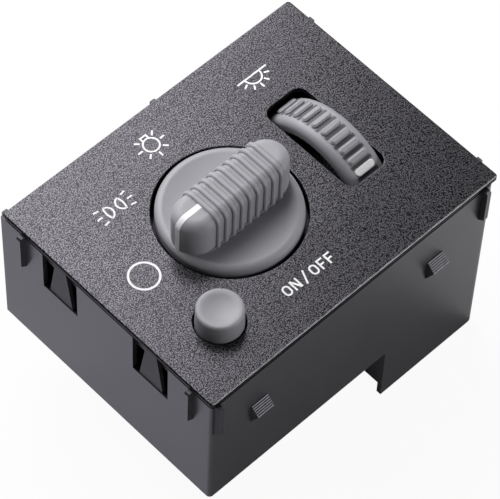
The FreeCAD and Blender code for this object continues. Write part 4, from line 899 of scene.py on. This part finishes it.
paint_nodes()
smooth_copy("face_plate", "grained_face_plate", "root")
smooth_copy("main_housing", "moulded_housing", "root")
smooth_copy("switch_carrier", "moulded_deck", "root")
smooth_copy("rotary_knob", "satin_knob", "knob", ribbed_grip_grey())
smooth_copy("knob_pointer", "white_pointer", "knob")
smooth_copy("thumbwheel", "satin_thumbwheel", "dimmer", ribbed_wheel_grey())
smooth_copy("wheel_index", "white_wheel_index", "dimmer")
smooth_copy("button_cap", "satin_button", "button")
return_spring()
off_symbol()
headlamp_symbol()
parking_symbol()
dome_symbol()
switch_label()
front_left_edge()
rear_left_flange()
for number, x in enumerate(WEDGE_PLACES, 1):
    wedge_teeth(f"front_snap_teeth_{number}", x, -1)
    wedge_teeth(f"back_snap_teeth_{number}", x, 1)


# Studio

def pale_floor():
    """Matt and pale, but white to the camera, and glowing in gloss on the switch's left side only."""
    material = bpy.data.materials.new("pale_floor")
    material.use_nodes = True
    material.node_tree.nodes.clear()
    matt = add_node(material, "ShaderNodeBsdfDiffuse")
    matt.inputs["Color"].default_value = FLOOR_COLOUR
    glow = add_node(material, "ShaderNodeEmission")
    path = add_node(material, "ShaderNodeLightPath").outputs
    tint = add_node(material, "ShaderNodeMix", data_type="RGBA")
    wire(material, path["Is Camera Ray"], tint.inputs["Factor"])
    tint.inputs[MIX_COLOUR_A].default_value = FLOOR_TINT_IN_GLOSS
    tint.inputs[MIX_COLOUR_B].default_value = (1, 1, 1, 1)
    wire(material, tint.outputs[MIX_COLOUR_RESULT], glow.inputs["Color"])
    place = split(material, place_on_piece(material))
    lit_side = remap(material, place["X"], cad_low.x + GLOW_NONE_X, cad_low.x + GLOW_FULL_X,
                     0, FLOOR_GLOW_IN_GLOSS)
    lit_end = remap(material, place["Y"], cad_low.y + GLOW_NONE_Y, cad_low.y + GLOW_FULL_Y, 0, 1)
    mirrored = combine(material, "MAXIMUM", path["Is Glossy Ray"], path["Is Transmission Ray"])
    mirrored = times(material, mirrored, times(material, lit_side, lit_end))
    seen = times(material, path["Is Camera Ray"], FLOOR_GLOW_TO_CAMERA)
    blend = add_node(material, "ShaderNodeMixShader")
    factor, first, second = blend.inputs
    wire(material, combine(material, "MAXIMUM", seen, mirrored), factor)
    wire(material, matt.outputs["BSDF"], first)
    wire(material, glow.outputs["Emission"], second)
    output = add_node(material, "ShaderNodeOutputMaterial")
    wire(material, blend.outputs["Shader"], output.inputs["Surface"])
    return material


def studio_floor():
    """A wide pale floor that keeps the soft shadow of the switch."""
    shape = bmesh.new()
    bmesh.ops.create_grid(shape, x_segments=1, y_segments=1, size=FLOOR_SIZE / 2)
    bmesh.ops.translate(shape, verts=shape.verts, vec=(0, 0, cad_low.z - FLOOR_GAP))
    mesh = mesh_of(shape, "studio_floor")
    mesh.materials.append(pale_floor())
    floor = bpy.data.objects.new("studio_floor", mesh)
    bpy.context.scene.collection.objects.link(floor)


def studio_surround():
    """White to the camera; for light and gloss, pale round the horizon under a dimmer ceiling."""
    world = bpy.data.worlds.new("studio_surround")
    bpy.context.scene.world = world
    world.use_nodes = True
    background = world.node_tree.nodes["Background"]
    background.inputs["Strength"].default_value = 1.0
    coordinates = add_node(world, "ShaderNodeTexCoord")
    height = split(world, coordinates.outputs["Generated"])["Z"]
    level = remap(world, height, SURROUND_TOP, CEILING_START, SURROUND_LEVEL, CEILING_LEVEL)
    path = add_node(world, "ShaderNodeLightPath").outputs
    seen = combine(world, "MAXIMUM", path["Is Camera Ray"], path["Is Transmission Ray"])
    blend = add_node(world, "ShaderNodeMix", data_type="FLOAT")
    wire(world, seen, blend.inputs["Factor"])
    wire(world, level, blend.inputs[MIX_NUMBER_A])
    blend.inputs[MIX_NUMBER_B].default_value = 1.0
    wire(world, blend.outputs["Result"], background.inputs["Color"])


def soft_light(name, place, heading, tilt, width, height, level):
    """A soft box whose width runs along heading; level is how bright its face looks."""
    lamp = bpy.data.lights.new(name, "AREA")
    lamp.shape = "RECTANGLE"
    lamp.size = width
    lamp.size_y = height
    lamp.energy = level * math.pi * width * height
    light = bpy.data.objects.new(name, lamp)
    light.location = place
    light.rotation_euler = (math.radians(tilt), 0, math.radians(heading))
    bpy.context.scene.collection.objects.link(light)


def camera():
    azimuth = math.radians(CAMERA_AZIMUTH)
    elevation = math.radians(CAMERA_ELEVATION)
    back = Vector((math.sin(azimuth) * math.cos(elevation), -math.cos(azimuth) * math.cos(elevation),
                   math.sin(elevation)))
    data = bpy.data.cameras.new("camera")
    data.lens = CAMERA_LENS
    data.sensor_width = CAMERA_SENSOR
    data.clip_start = CAMERA_NEAR
    data.clip_end = CAMERA_FAR
    eye = bpy.data.objects.new("camera", data)
    eye.location = CAMERA_TARGET + back * CAMERA_DISTANCE
    eye.rotation_mode = "QUATERNION"
    eye.rotation_quaternion = (-back).to_track_quat("-Z", "Y") @ Quaternion((0, 0, 1), math.radians(CAMERA_ROLL))
    bpy.context.scene.collection.objects.link(eye)
    bpy.context.scene.camera = eye


studio_floor()
studio_surround()
soft_light("key_softbox", **KEY_SOFTBOX)
soft_light("front_fill", **FRONT_FILL)
camera()
bpy.context.scene.view_settings.view_transform = "Standard"
